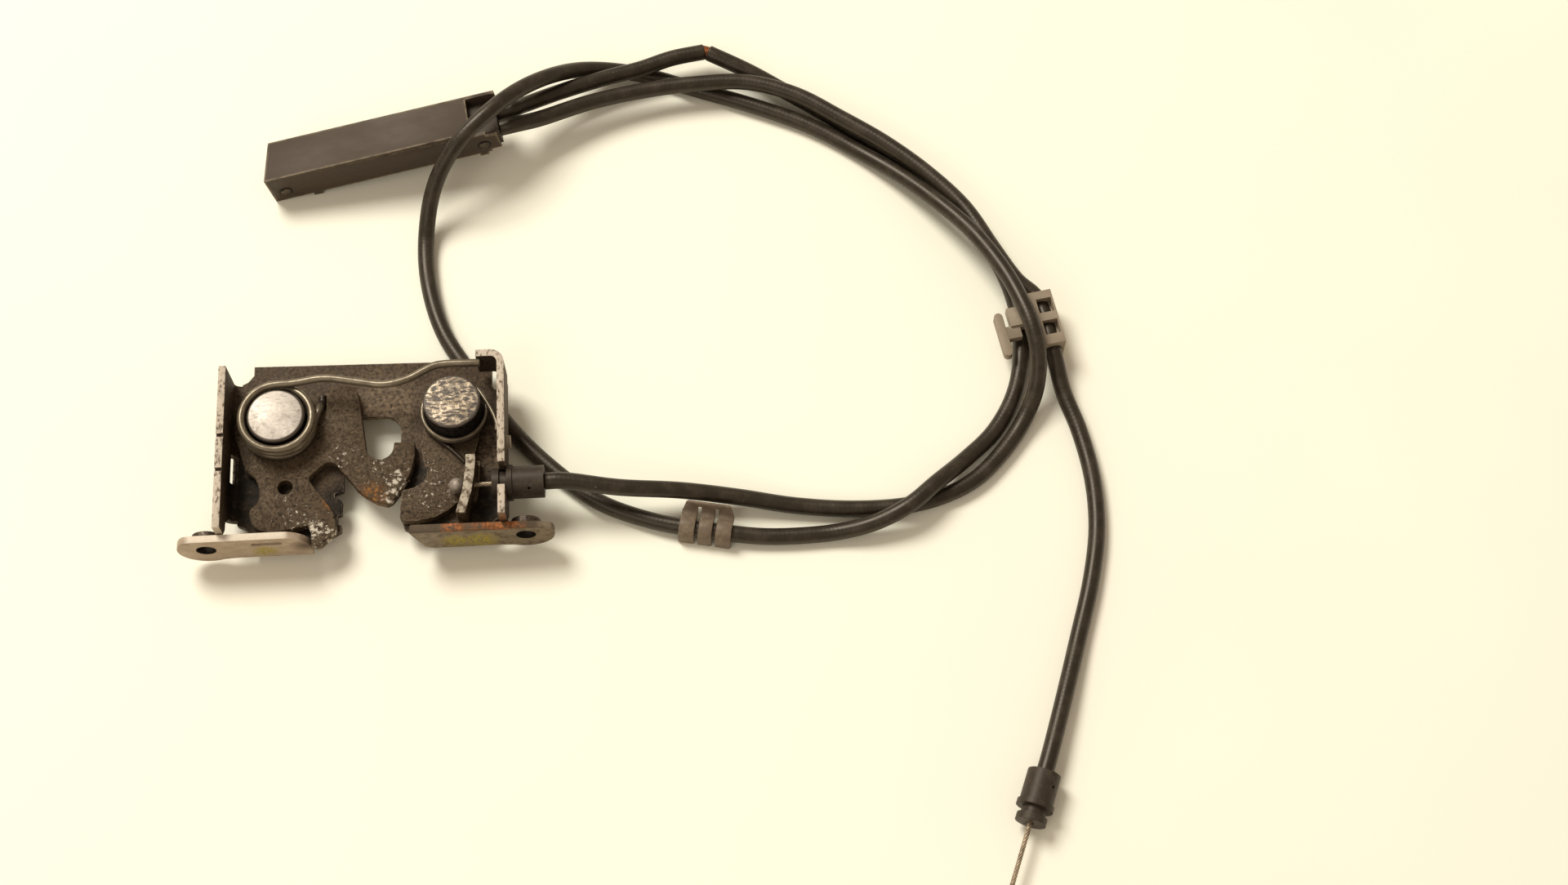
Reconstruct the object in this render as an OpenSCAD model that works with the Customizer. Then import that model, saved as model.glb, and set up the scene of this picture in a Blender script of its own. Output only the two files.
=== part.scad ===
// Bonnet latch with its release cables, lying on a bench.
// Millimetres. The origin is midway between the two ear bolts, +Z up from the bench,
// +X from the catch to the pawl, +Y from the ears to the rear edge of the plate.

/* [Base plate] */
// Thickness of the folded sheet
sheet_t = 2.5; // [2:0.1:3]
// Inside radius of every fold
bend_r = 2.5; // [1.5:0.1:3]
// Distance from the outside of the left flange to the catch pivot
left_margin = 20; // [19.5:0.5:24]
// Distance from the outside of the right flange to the pawl pivot
right_margin = 18.5; // [16:0.5:24]
// Depth from the ears' bolting face to the rear edge
plate_d = 72; // [70:0.5:80]
// Height of the side flanges above the underside of the plate
flange_h = 20; // [19:0.1:24]
// Space under the plate, filled by the rivet tails
foot_h = 6.6; // [6.4:0.1:9]
// Gap left between the ears and the ends of the side flanges
relief_gap = 0.5; // [0.3:0.1:2]
// Height of the hook tab at the rear of the right flange
tab_h = 13; // [8:0.5:14]
// Reach of the hook tab past its fold
tab_reach = 5; // [3:0.5:8]

/* [Ears] */
// Distance from the outside of a side flange to the bolt hole beside it
bolt_margin = 5.25; // [5:0.25:8]
// Radius of the bolt holes
bolt_hole_r = 3.4; // [3:0.1:4]
// Height of the left ear above the underside of the plate
ear_h = 14.2; // [13:0.1:17]
// How much the top edge of the right ear falls towards its bolt
ear_step = 1.2; // [0:0.1:2.5]
// How far both ears reach below the underside of the plate
ear_drop = 1.6; // [0.5:0.1:2.5]
// Distance from the top of the left ear down to the bolt holes
hole_drop = 7.6; // [6.5:0.1:8]
// Radius of the ear around each bolt hole
lobe_r = 10; // [8.5:0.1:11]
// Radius of the weld nuts behind the ears
nut_r = 5.2; // [4.5:0.1:5.5]
// Length of the weld nuts
nut_l = 2.8; // [2:0.1:5]

/* [Catch] */
// Thickness of the catch
catch_t = 4; // [3:0.1:5]
// Radius of the outer edge of the catch, which sets the distance between the pivots
catch_r = 50.3; // [46:0.1:56]
// Radius of the hub around the catch pivot
hub_r = 14.8; // [13:0.1:15]
// Radius of the small tooling hole in the catch
tooling_r = 2.6; // [1.5:0.1:3.5]

/* [Pawl] */
// Thickness of the pawl
pawl_t = 3.5; // [2.5:0.1:4.5]
// Height of the bent-up arm above the underside of the pawl
arm_h = 12.6; // [10:0.1:15]
// Radius of the hub around the pawl pivot
pawl_hub_r = 11; // [9:0.1:12]
// Least gap between the pawl and the sweep of the catch
sweep_gap = 0.4; // [0.3:0.1:1]

/* [Rivets] */
// Radius of the pivot shoulders
shoulder_r = 6.5; // [5:0.1:7.5]
// Running clearance of both pivots, on the radius
pivot_clear = 0.05; // [0.02:0.01:0.1]
// Radius of the rivet heads
head_r = 10.2; // [9.5:0.1:10.5]
// Height of the catch rivet's head above the top of the plate
head_z = 15; // [13:0.5:17]
// How much higher the pawl rivet's head stands
head_step = 1.5; // [0:0.1:2]
// Radius of the rivet tails under the plate
tail_r = 7.5; // [6:0.1:9]
// Thickness of the spacing washers
washer_t = 0.5; // [0.3:0.1:0.8]
// Gap between parts that turn on each other
turn_gap = 0.2; // [0.1:0.05:0.4]

/* [Springs] */
// Wire thickness of the catch spring
catch_wire_d = 2.8; // [2.4:0.1:3]
// Wire thickness of the pawl spring
pawl_wire_d = 1.5; // [1.2:0.1:1.8]
// Gap between a spring and what it bears on or turns over
spring_gap = 0.3; // [0.2:0.05:0.5]
// Gap between the coils and the rivet heads, on the radius
coil_gap = 0.7; // [0.4:0.1:0.9]

/* [Cables] */
// Outside diameter of the cable sheath
sheath_d = 6; // [5:0.1:6]
// Diameter of the inner wire
wire_d = 1.7; // [1.2:0.1:1.8]
// Clearance around the inner wire in its bores, on the radius
wire_clear = 0.4; // [0.2:0.1:0.6]
// Diameter of the wire nipples
nipple_d = 5.6; // [5:0.1:6.5]
// Height of the latch wire above the top of the plate
wire_z = 7.9; // [7:0.1:9]
// Distance from the ears' bolting face to the latch wire
wire_y = 18.2; // [17:0.1:20]
// Length of the release wire outside its ferrule
free_wire_l = 40; // [30:1:80]

/* [Ferrules] */
// Diameter of the ferrule barrel
barrel_d = 11.5; // [10:0.1:12.5]
// Length of the ferrule barrel
barrel_l = 11; // [9:0.5:16]
// Diameter of the ferrule collar
collar_d = 12.8; // [12.6:0.1:14]
// Thickness of the ferrule collar
collar_t = 1.8; // [1:0.1:2.5]
// Diameter of the ferrule neck, which sits in the flange
neck_d = 8.4; // [7:0.1:9]
// Clearance of the neck in the flange, on each side
neck_clear = 0.15; // [0.05:0.05:0.4]
// Diameter of the ferrule end disc
disc_d = 10.6; // [9.5:0.1:11.5]
// Thickness of the ferrule end disc
disc_t = 2.4; // [1.5:0.1:2.6]

/* [Junction] */
// Length of the junction channel
channel_l = 88; // [80:1:110]
// Width of the junction channel
channel_w = 16; // [15.6:0.1:20]
// Height of the junction channel
channel_h = 15.5; // [13.5:0.1:18]
// Wall of the junction channel
channel_t = 1.2; // [0.8:0.1:1.4]
// Length of the ends of the walls that stand past the roof
channel_open = 9; // [6:0.5:14]
// Distance between the two cables at the junction
cable_pitch = 6.8; // [6.6:0.1:8]
// Radius of the cross pins of the junction
cross_pin_r = 2; // [1.5:0.1:2.2]
// Thickness of the return pulley
pulley_t = 4; // [3:0.1:5]

/* [Hidden] */
$fn = 48;

// Heights above the bench
plate_z0 = foot_h;
plate_z1 = foot_h + sheet_t;
turn_z = plate_z1 + washer_t + turn_gap / 2;
flange_z = foot_h + flange_h;
ear_z = foot_h + ear_h;
hole_z = ear_z - hole_drop;
head_top = plate_z1 + head_z;
catch_top = turn_z + catch_t;
pawl_top = turn_z + pawl_t;
cable_z = plate_z1 + wire_z;

// Plan of the base plate, from the pivots outwards. The catch is drawn at catch_drawn_r, then scaled.
catch_drawn_r = 50.3;
catch_k = catch_r / catch_drawn_r;
hub_gap = 0.3;
pivot_d = catch_r + sweep_gap + pawl_hub_r + hub_gap;
plate_w = left_margin + pivot_d + right_margin;
plate_shift = -0.75;
fold_r = bend_r + sheet_t;
plate_x0 = plate_shift - plate_w / 2;
plate_x1 = plate_shift + plate_w / 2;
bolt_spacing = plate_w + 2 * bolt_margin;
flange_y0 = sheet_t + relief_gap;
catch_at = [plate_x0 + left_margin, 45.5];
pawl_at = [catch_at[0] + pivot_d, 47];
tab_y = 63.5;
hook_x = plate_x1 - fold_r - tab_reach;
stop_gap = 0.3;
hook_side = 11.7;
ear_in_left = catch_at[0] + catch_k * hook_side - stop_gap;
ear_in_right = pawl_at[0] - 16.2;
ear_fold_left = plate_x0 + 9.5;
ear_fold_right = plate_x1 - 8;
slot_x0 = catch_at[0] + 22;
slot_x1 = pawl_at[0] - 16;

// Fits
pivot_bore_r = shoulder_r + pivot_clear;
wire_bore_r = wire_d / 2 + wire_clear;
sheath_r = sheath_d / 2;
coil_r = head_r + coil_gap + catch_wire_d / 2;
pawl_coil_r = head_r + coil_gap / 2 + pawl_wire_d / 2;
neck_l = sheet_t + 2 * neck_clear;
ferrule_l = disc_t + neck_l + collar_t + barrel_l;
latch_ferrule_x = plate_x1 - sheet_t - neck_clear - disc_t;
block_inner_w = channel_w - 2 * channel_t;

// Placing of the loose ends of the cables on the bench
junction_at = [-38, 145.5, 0];
junction_turn = 8;
junction_pitch = 7;
block_z = 7;
end_slant = 0.21;
pulley_x = 11.5;
free_end_at = [228.3, -93.4];
free_end_turn = 21;
free_z = collar_d / 2;
clip_at = [244.7, 74];
clip_turn = 10;
clip_cable_z = 8.4;
finger_at = [118, 2];
finger_turn = -11.6;
finger_cable_z = 4;

// Points on the arc about c with radius r from angle a to angle b
function arc(c, r, a, b, n = 8) =
    [for (i = [0 : n]) c + r * [cos(a + (b - a) * i / n), sin(a + (b - a) * i / n)]];

// A point given in the junction's own axes, on the bench
function junction_point(p) =
    let (x = p[0] * cos(junction_pitch) - p[2] * sin(junction_pitch),
        z = p[0] * sin(junction_pitch) + p[2] * cos(junction_pitch))
    junction_at + [x * cos(junction_turn) - p[1] * sin(junction_turn),
        x * sin(junction_turn) + p[1] * cos(junction_turn), z];

// A point a distance s along the block clip's channel, on the bench
function clip_point(s) = [clip_at[0] + s * sin(clip_turn), clip_at[1] - s * cos(clip_turn), clip_cable_z];

function unit(v) = v / norm(v);
function direction(p, i) = unit(p[min(i + 1, len(p) - 1)] - p[max(i - 1, 0)]);
function sideways(d) = abs(d[2]) > 0.9 ? unit(cross([1, 0, 0], d)) : unit(cross([0, 0, 1], d));
function ring(p, d, r, sides) =
    let (a = sideways(d), b = cross(d, a))
    [for (k = [0 : sides - 1]) p + r * (cos(360 * k / sides) * a + sin(360 * k / sides) * b)];

// A round rod with flat ends that follows the points of a path
module rod(path, r, sides = 10) {
    n = len(path);
    points = [for (i = [0 : n - 1]) each ring(path[i], direction(path, i), r, sides)];
    walls = [for (i = [0 : n - 2], k = [0 : sides - 1])
        let (a = i * sides + k, b = i * sides + (k + 1) % sides)
        each [[a, b, b + sides], [a, b + sides, a + sides]]];
    first = [for (k = [0 : sides - 1]) sides - 1 - k];
    last = [for (k = [0 : sides - 1]) (n - 1) * sides + k];
    polyhedron(points, concat([first], walls, [last]), convexity = 10);
}

// Cable routes over the bench, from the latch round the loop to the broken bend, from there to the
// junction, and from the junction to the free ferrule
lead = 6;
latch_route = concat([for (s = [0, lead]) [latch_ferrule_x + ferrule_l + s, wire_y, cable_z]], [
    [88, 15.6, 14.5], [110, 15, 10.3], [130, 13, 6.4], [150, 9.8, 3.6], [171, 7.6, 3.1], [190, 8, 3.1],
    [204, 11.4, 3.1], [215, 17, 3.1], [225, 26.5, 3.1], [233, 37, 4], [238.5, 47.5, 8.5],
    [240, 58, 15.5], [238.5, 69, 18.6], [235, 81, 18.6], [230, 94, 17], [221, 110, 15.2],
    [210, 125, 11.5], [197, 140, 7], [182, 153.5, 3.5], [164, 166, 3.1], [143, 176, 3.1],
    [121, 184.6, 3.1], [104, 191, 3.4], [91, 193, 5.5], [78.1, 189.9, 12], [66.4, 181.6, 21.2],
    [55, 171.5, 27.9], [44, 160.4, 30.8], [32.5, 150.2, 26.8], [23.5, 140, 15.8], [19.1, 126, 5],
    [19.6, 107.2, 3.1], [25.2, 85.6, 3.1], [37, 65, 3.1], [49, 46, 3.1], [63, 30, 3.1],
    [80, 15.5, 3.1], [99, 7, 3.1], [118, 2, 4], [139, -1.2, 3.1], [161, -1.2, 3.1], [177, 0.5, 6.4],
    [190, 5.5, 9.6], [200.5, 14, 8.8], [211.6, 24, 4.6], [222.8, 34.8, 3.1], [231.4, 49, 3.1],
    [235.6, 66, 3.1], [235.5, 84, 3.1], [231, 102, 3.1], [221, 121, 3.1], [206.6, 139.5, 3.1],
    [190.4, 155.1, 3.1], [173.3, 168.7, 3.1], [159.2, 179.1, 3.1], [142.2, 189.1, 6.7],
    [127, 196.4, 9.7]]);
junction_route = concat([
    [125.5, 196.9, 9.7], [113, 194.6, 9.8], [101, 190.4, 10], [87, 186.3, 11], [70, 179.5, 13.4],
    [57, 173, 16]],
    [for (s = [lead, 0]) junction_point([channel_l + 1 + s, channel_w / 2 + cable_pitch / 2, block_z])]);
release_route = concat(
    [for (s = [0, lead]) junction_point([channel_l + 1 + s, channel_w / 2 - cable_pitch / 2, block_z])], [
    [62.2, 167, 15.2], [81.4, 175.5, 11.6], [101.2, 180.6, 9.9], [122, 182.8, 9.7],
    [141.8, 182.2, 9.9], [159.6, 175.6, 10], [175.5, 164.9, 9.8], [191.5, 153.1, 9.7],
    [206.6, 139, 9.7], [219.4, 123.4, 9.7], [228.4, 105.8, 9.7], [235.9, 92.3, 9.4]],
    [clip_point(-11), clip_point(11)], [
    [249, 49.6, 4.4], [253.5, 33.7, 3.1], [256.3, 14.9, 3.1], [255.9, -4, 3.1], [252, -23, 3.1],
    [245, -45, 3.4], [237, -69, 5.4]],
    [for (s = [lead, 0])
        [free_end_at[0] + s * sin(free_end_turn), free_end_at[1] + s * cos(free_end_turn), free_z]]);

// Plan outlines of the plate, of the catch about its pivot, and of the pawl about its pivot
slot_r = 6;
slot_lip = 4;
slot_top = 50;
plate_outline = concat(
    [[plate_x0 + fold_r, 12], [plate_x0 + fold_r, 10.5], [plate_x0 + 8, 9], [ear_fold_left, 7],
    [ear_fold_left, fold_r],
    [ear_in_left, fold_r], [slot_x0 - 4, fold_r - 0.5], [slot_x0 - 0.6, 6.4], [slot_x0 - 0.5, 8.5],
    [slot_x0 - 1.9, 9.2],
    [slot_x0 - 1.9, 12.3], [slot_x0 - 0.5, 12.9], [slot_x0 - 0.4, 17.6], [slot_x0 - 0.9, 18.7],
    [slot_x0 - 3, 18.9],
    [slot_x0 - 3.2, 20.8], [slot_x0, 21.6]],
    arc([slot_x0 + slot_r, slot_top - slot_r], slot_r, 180, 90),
    arc([slot_x1 - slot_lip - slot_r, slot_top - slot_r], slot_r, 90, 0),
    [[slot_x1 - slot_lip, 37], [slot_x1 - 1, 30], [slot_x1 - 2.5, 20], [slot_x1 - 3.2, 8.5],
    [slot_x1 - 2.4, 6], [slot_x1, fold_r],
    [plate_x1 - fold_r - 2, fold_r], [plate_x1 - fold_r, 8], [plate_x1 - fold_r, 58.5],
    [plate_x1 - fold_r - 1, 60], [plate_x1 - fold_r - 1, plate_d - 2],
    [plate_x0 + 9, plate_d], [plate_x0 + 9, 68.5],
    [plate_x0 + 7, 66], [plate_x0 + fold_r, 65]]);
catch_drawn = concat(
    arc([17.5, 13.5], 1.5, 180, 90, 3), arc([24, 12], 3, 90, 20, 4), [[27.8, 8.5], [30, -7]],
    arc([35.2, -9.3], 4.9, 195, 350, 10), [[40.3, -7.9], [42, -8], [46.6, -7.5], [47.5, -8.6], [47.7, -13]],
    arc([0, 0], catch_drawn_r, -22.5, -38, 6), arc([37.9, -29.9], 1.6, -42, -110, 3),
    [[34.1, -30.3], [30.3, -27.9], [27.3, -25.1], [25.1, -21.9], [22.4, -18.8]],
    arc([17.4, -18.6], 4, 45, 115, 4), [[12, -18.3]], arc([12.4, -20.6], 1.8, 130, 215, 4),
    [[14.7, -26.8], [17.2, -30.3], [19.4, -34]], arc([15.5, -38.9], 4.9, 20, -60, 6),
    arc([hook_side + 2.4, -43.6], 2.4, 285, 180, 4), [[hook_side, -41], [10.4, -38], [4.9, -39.2]],
    arc([-2.5, -32.5], 7.6, -80, -190, 8),
    [[-7.6, -29.1], [-6.7, -26.5], [-7, -23], [-8.4, -19.1], [-12, -16.1]],
    arc([0, 0], hub_r + 1.6, 208, 140, 6), arc([0, 0], hub_r, 130, 20, 9), [[16, 6]]);
catch_outline = [for (p = catch_drawn) catch_at + catch_k * p];
finger_x = catch_at[0] + 16 * catch_k;
tooth_turn = -31.8;
tooth_r = 0.9;
pawl_outline = concat(
    arc(pawl_at, pawl_hub_r, 178, 40, 10),
    [for (p = [[9, 0], [8.2, -9.5], [5.9, -17.8], [8.6, -18.2], [8.4, -27], [7.4, -33.5], [0.5, -33.5],
        [-2.6, -36.2], [-7.4, -38.7], [-13, -39.7]]) pawl_at + p],
    arc(pawl_at + [-18, -38], 1.5, 270, 180, 3),
    arc(catch_at + (catch_r + sweep_gap + tooth_r) * [cos(tooth_turn), sin(tooth_turn)], tooth_r, 185, 80, 4),
    [pawl_at + [-14.6, -27.1]], arc(pawl_at + [-14.6, -21.6], 4.6, -60, 35, 6), [pawl_at + [-11.6, -15.5]],
    arc(catch_at, catch_r + sweep_gap, -11, -1, 4));
// Plan of the pawl's bent-up arm, a curved strip
arm_t = 3.3;
arm_drawn = [[1.1, -41.2], [1.9, -37.8], [3.2, -33.4], [4, -28], [4.5, -22.5], [4.5, -19.3]];
arm_west = [for (p = arm_drawn) pawl_at + p];
arm_outline = concat(arm_west, [for (i = [5 : -1 : 0]) arm_west[i] + [arm_t, 0]]);
arm_x = pawl_at[0] + 3.9;

// One fold of the sheet, its axis along +Y from the origin, from the -X side to the -Z side
module fold(l) {
    rotate([-90, 0, 0]) rotate(90) rotate_extrude(angle = 90) translate([bend_r, 0]) square([sheet_t, l]);
}

// A side flange in its own axes: outer face at x = 0, outline in Y and Z, fold along the root
module side_flange(outline, root) {
    rotate([90, 0, 90]) linear_extrude(sheet_t) polygon(outline);
    translate([fold_r, root[0], plate_z0 + fold_r]) fold(root[1] - root[0]);
}

// The outer end of an ear in X and Z, for an ear on the left, round the bolt from angle a to the lower edge
function ear_lobe(a) = concat(arc([-bolt_spacing / 2, hole_z], lobe_r, a, 298, 14),
    [[-bolt_spacing / 2 + lobe_r, plate_z0 - ear_drop]]);

module left_ear() {
    corner_r = 9;
    outline = concat(ear_lobe(135), [[ear_in_left, plate_z0 - ear_drop]],
        arc([ear_in_left - corner_r, ear_z - corner_r], corner_r, 0, 90, 8),
        [[-bolt_spacing / 2 - 4, ear_z]]);
    translate([0, sheet_t, 0]) rotate([90, 0, 0]) linear_extrude(sheet_t) polygon(outline);
    translate([ear_in_left, fold_r, plate_z0 + fold_r]) rotate(90) fold(ear_in_left - ear_fold_left);
}

module right_ear() {
    top = ear_z + 0.3;
    outline = concat(ear_lobe(155), [[-ear_in_right - 8, plate_z0 - ear_drop],
        [-ear_in_right - 4.8, plate_z0 - ear_drop + 1.5],
        [-ear_in_right - 0.8, top - 1.5], [-ear_in_right - 1.6, top],
        [-bolt_spacing / 2 + 2, top - ear_step], [-bolt_spacing / 2 - 4.5, top - ear_step - 0.7]]);
    mirror([1, 0, 0]) translate([0, sheet_t, 0]) rotate([90, 0, 0]) linear_extrude(sheet_t) polygon(outline);
    translate([ear_fold_right, fold_r, plate_z0 + fold_r]) rotate(90) fold(ear_fold_right - ear_in_right - 5);
}

// The fold at the rear of the right flange and the tab that hooks the catch spring
module hook_tab() {
    z0 = flange_z - tab_h;
    inner = plate_x1 - fold_r;
    translate([inner, tab_y + sheet_t - fold_r, z0]) rotate_extrude(angle = 90) translate([bend_r, 0])
        square([sheet_t, tab_h]);
    translate([inner - tab_reach, tab_y, z0]) cube([tab_reach, sheet_t, tab_h]);
    translate([plate_x1 - sheet_t, 58, z0]) cube([sheet_t, tab_y + sheet_t - fold_r - 58, tab_h]);
}

module base_plate() {
    left = [[flange_y0, flange_z], [flange_y0, flange_z - 7], [flange_y0 + 2.5, flange_z - 9.5],
        [9, flange_z - 10], [12, plate_z0 + fold_r], [64.5, plate_z0 + fold_r], [64.5, flange_z]];
    right = [[flange_y0, flange_z], [flange_y0, plate_z0 + 11], [8, plate_z0 + fold_r],
        [58.5, plate_z0 + fold_r], [58.5, flange_z]];
    color("#5b564f") difference() {
        union() {
            translate([0, 0, plate_z0]) linear_extrude(sheet_t) polygon(plate_outline);
            translate([plate_x0, 0, 0]) side_flange(left, [12, 64.5]);
            translate([plate_x1, 0, 0]) mirror([1, 0, 0]) side_flange(right, [8, 58.5]);
            left_ear();
            right_ear();
            hook_tab();
            translate([plate_x1 - sheet_t / 2, 33.5, plate_z1 + 9]) rotate([0, 90, 0])
                cylinder(r = 2.3, h = sheet_t / 2 + 1.4);
        }
        for (p = [catch_at, pawl_at]) translate([p[0], p[1], 0])
            cylinder(r = shoulder_r - 1.5 + 0.02, h = 3 * foot_h);
        for (s = [-1, 1]) translate([s * bolt_spacing / 2, -1, hole_z]) rotate([-90, 0, 0])
            cylinder(r = bolt_hole_r, h = sheet_t + 2);
        translate([plate_x1 - sheet_t - 1, wire_y, cable_z]) rotate([0, 90, 0])
            cylinder(r = neck_d / 2 + neck_clear, h = sheet_t + 2);
        translate([plate_x1 - sheet_t - 1, wire_y - neck_d / 2 - neck_clear, cable_z])
            cube([sheet_t + 2, neck_d + 2 * neck_clear, flange_z]);
        for (x = [0, 8.6]) translate([x + 17.1 - bolt_spacing / 2, -1, hole_z + 3]) rotate([-90, 0, 0])
            cylinder(r = 1.1, h = sheet_t + 2);
        translate([17.1 - bolt_spacing / 2, -1, hole_z + 1.9]) cube([8.6, sheet_t + 2, 2.2]);
        translate([plate_x0 - 1, 26, plate_z0 + 0.8]) cube([5.2, 10.8, 4.6]);
        for (y = [24, 37]) translate([plate_x0 - 1, y, flange_z - 1.2]) cube([sheet_t + 2, 1.4, 2]);
    }
}

module weld_nuts() {
    color("#4a443e") for (s = [-1, 1]) translate([s * bolt_spacing / 2, sheet_t, hole_z]) rotate([-90, 0, 0])
        difference() {
            cylinder(r = nut_r, h = nut_l);
            translate([0, 0, -1]) cylinder(r = bolt_hole_r, h = nut_l + 2);
        }
}

module catch() {
    color("#6a645c") difference() {
        translate([0, 0, turn_z]) linear_extrude(catch_t) polygon(catch_outline);
        translate([catch_at[0], catch_at[1], 0]) cylinder(r = pivot_bore_r, h = head_top);
        translate([catch_at[0] + 2.2 * catch_k, catch_at[1] - 23.3 * catch_k, 0])
            cylinder(r = tooling_r, h = head_top);
    }
}

// A pivot rivet: tail under the plate, neck through it, shoulder for a lever of thickness t, head up to top
module pivot_rivet(t, top) {
    edge = 0.6;
    color("#b9b6b0") {
        cylinder(r = tail_r, h = plate_z0);
        translate([0, 0, plate_z0]) cylinder(r = shoulder_r - 1.5, h = sheet_t);
        translate([0, 0, plate_z1]) cylinder(r = shoulder_r, h = turn_z - plate_z1 + t + turn_gap);
        translate([0, 0, turn_z + t + turn_gap]) cylinder(r = head_r, h = top - turn_z - t - turn_gap - edge);
        translate([0, 0, top - edge]) cylinder(r1 = head_r, r2 = head_r - edge, h = edge);
    }
}

module catch_rivet() translate([catch_at[0], catch_at[1], 0]) pivot_rivet(catch_t, head_top);
module pawl_rivet() translate([pawl_at[0], pawl_at[1], 0]) pivot_rivet(pawl_t, head_top + head_step);

module pivot_washers() {
    color("#8d8a84") for (p = [catch_at, pawl_at]) translate([p[0], p[1], plate_z1]) difference() {
        cylinder(r = shoulder_r + 2.4, h = washer_t - turn_gap / 2);
        translate([0, 0, -1]) cylinder(r = pivot_bore_r, h = 3);
    }
}

// Points of a coil about c that rises clockwise from angle a over the given turn in degrees
function coil(c, r, a, turn, z, pitch, step) =
    [for (i = [0 : round(turn / step)]) let (w = a - i * turn / round(turn / step))
        [c[0] + r * cos(w), c[1] + r * sin(w), z + pitch * (a - w) / 360]];

module catch_spring() {
    r = catch_wire_d / 2;
    z = catch_top + spring_gap + r;
    turn = 990;
    pitch = catch_wire_d + 0.1;
    top = z + pitch * turn / 360;
    lean_x = finger_x - spring_gap - r;
    path = concat(
        [[lean_x, 58, turn_z + catch_t / 2], [lean_x, 55, turn_z + catch_t / 2], [lean_x - 0.3, 51.5, z]],
        coil(catch_at, coil_r, 0, turn, z, pitch, 18),
        [for (p = [[6, 12.5, 0], [14, 13.6, 0.2], [19, 13.5, 0.3], [29, 11.5, 0.5], [38, 9.9, 0.7]])
            [catch_at[0] + p[0], catch_at[1] + p[1], top + p[2]]],
        [[hook_x - 24, 57, top + 1], [hook_x - 17.5, 60.3, top + 1.2],
        [hook_x - 13.5, tab_y - spring_gap - r, top + 1.3],
        [hook_x + 1.5, tab_y - spring_gap - r, top + 1.4]]);
    color("#b5ab95") rod(path, r);
}

module pawl() {
    color("#6a645c") difference() {
        union() {
            translate([0, 0, turn_z]) linear_extrude(pawl_t) polygon(pawl_outline);
            translate([0, 0, turn_z]) linear_extrude(arm_h) polygon(arm_outline);
        }
        translate([pawl_at[0], pawl_at[1], 0]) cylinder(r = pivot_bore_r, h = head_top);
        translate([pawl_at[0] - 1, wire_y - 3.2, cable_z - wire_bore_r - 0.3])
            cube([12, 6.4, 2 * wire_bore_r + 0.6]);
    }
}

module pawl_spring() {
    r = pawl_wire_d / 2;
    z = pawl_top + spring_gap + r;
    turn = 926;
    pitch = pawl_wire_d + 0.1;
    top = z + pitch * turn / 360;
    path = concat([[arm_x + 0.6 - spring_gap - r, 28.2, z], [pawl_at[0] - 1.6, 33.6, z]],
        coil(pawl_at, pawl_coil_r, 229.5, turn, z, pitch, 24),
        [[plate_x1 - sheet_t - spring_gap - r, 41.5, top], [plate_x1 - sheet_t - spring_gap - r, 38, top]]);
    color("#b5ab95") rod(path, r, 8);
}

// The inner wire and its ball nipple, along +X with the nipple at the origin
module wire_along(l) {
    translate([-nipple_d / 2, 0, 0]) rotate([0, 90, 0]) cylinder(r = wire_d / 2, h = l);
}

module ball_nipple() {
    rotate([0, 90, 0]) difference() {
        sphere(r = nipple_d / 2);
        translate([0, 0, -nipple_d]) cylinder(r = wire_d / 2 + 0.01, h = 2 * nipple_d);
    }
}

nipple_x = arm_x - nipple_d / 2 - spring_gap;
module latch_wire() {
    color("#a89f8d") translate([nipple_x, wire_y, cable_z]) wire_along(latch_ferrule_x + 12 - nipple_x);
}

module latch_nipple() {
    color("#8f8b84") translate([nipple_x, wire_y, cable_z]) ball_nipple();
}

// A ferrule along +X from its end disc, bored for the wire
module ferrule() {
    color("#2b2a28") rotate([0, 90, 0]) difference() {
        union() {
            cylinder(d = disc_d, h = disc_t);
            translate([0, 0, disc_t]) cylinder(d = neck_d, h = neck_l);
            translate([0, 0, disc_t + neck_l]) cylinder(d = collar_d, h = collar_t);
            translate([0, 0, disc_t + neck_l + collar_t]) cylinder(d = barrel_d, h = barrel_l);
        }
        translate([0, 0, -1]) cylinder(r = wire_bore_r, h = ferrule_l - 1);
        rotate(45) translate([-barrel_d / 2 + 1.5, 0, ferrule_l - 5]) rotate([0, -90, 0])
            cylinder(r = 0.6, h = 3);
    }
}

module latch_ferrule() translate([latch_ferrule_x, wire_y, cable_z]) ferrule();
module latch_cable() color("#1f1d1b") rod(latch_route, sheath_r);
module junction_cable() color("#1f1d1b") rod(junction_route, sheath_r);
module release_cable() color("#1f1d1b") rod(release_route, sheath_r);

// The rusted liner that shows where the sheath has broken at its bend
module sheath_core() {
    n = len(latch_route) - 1;
    color("#7a4a2a") rod([latch_route[n], junction_route[0]], sheath_r * 0.8, 8);
}

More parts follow.
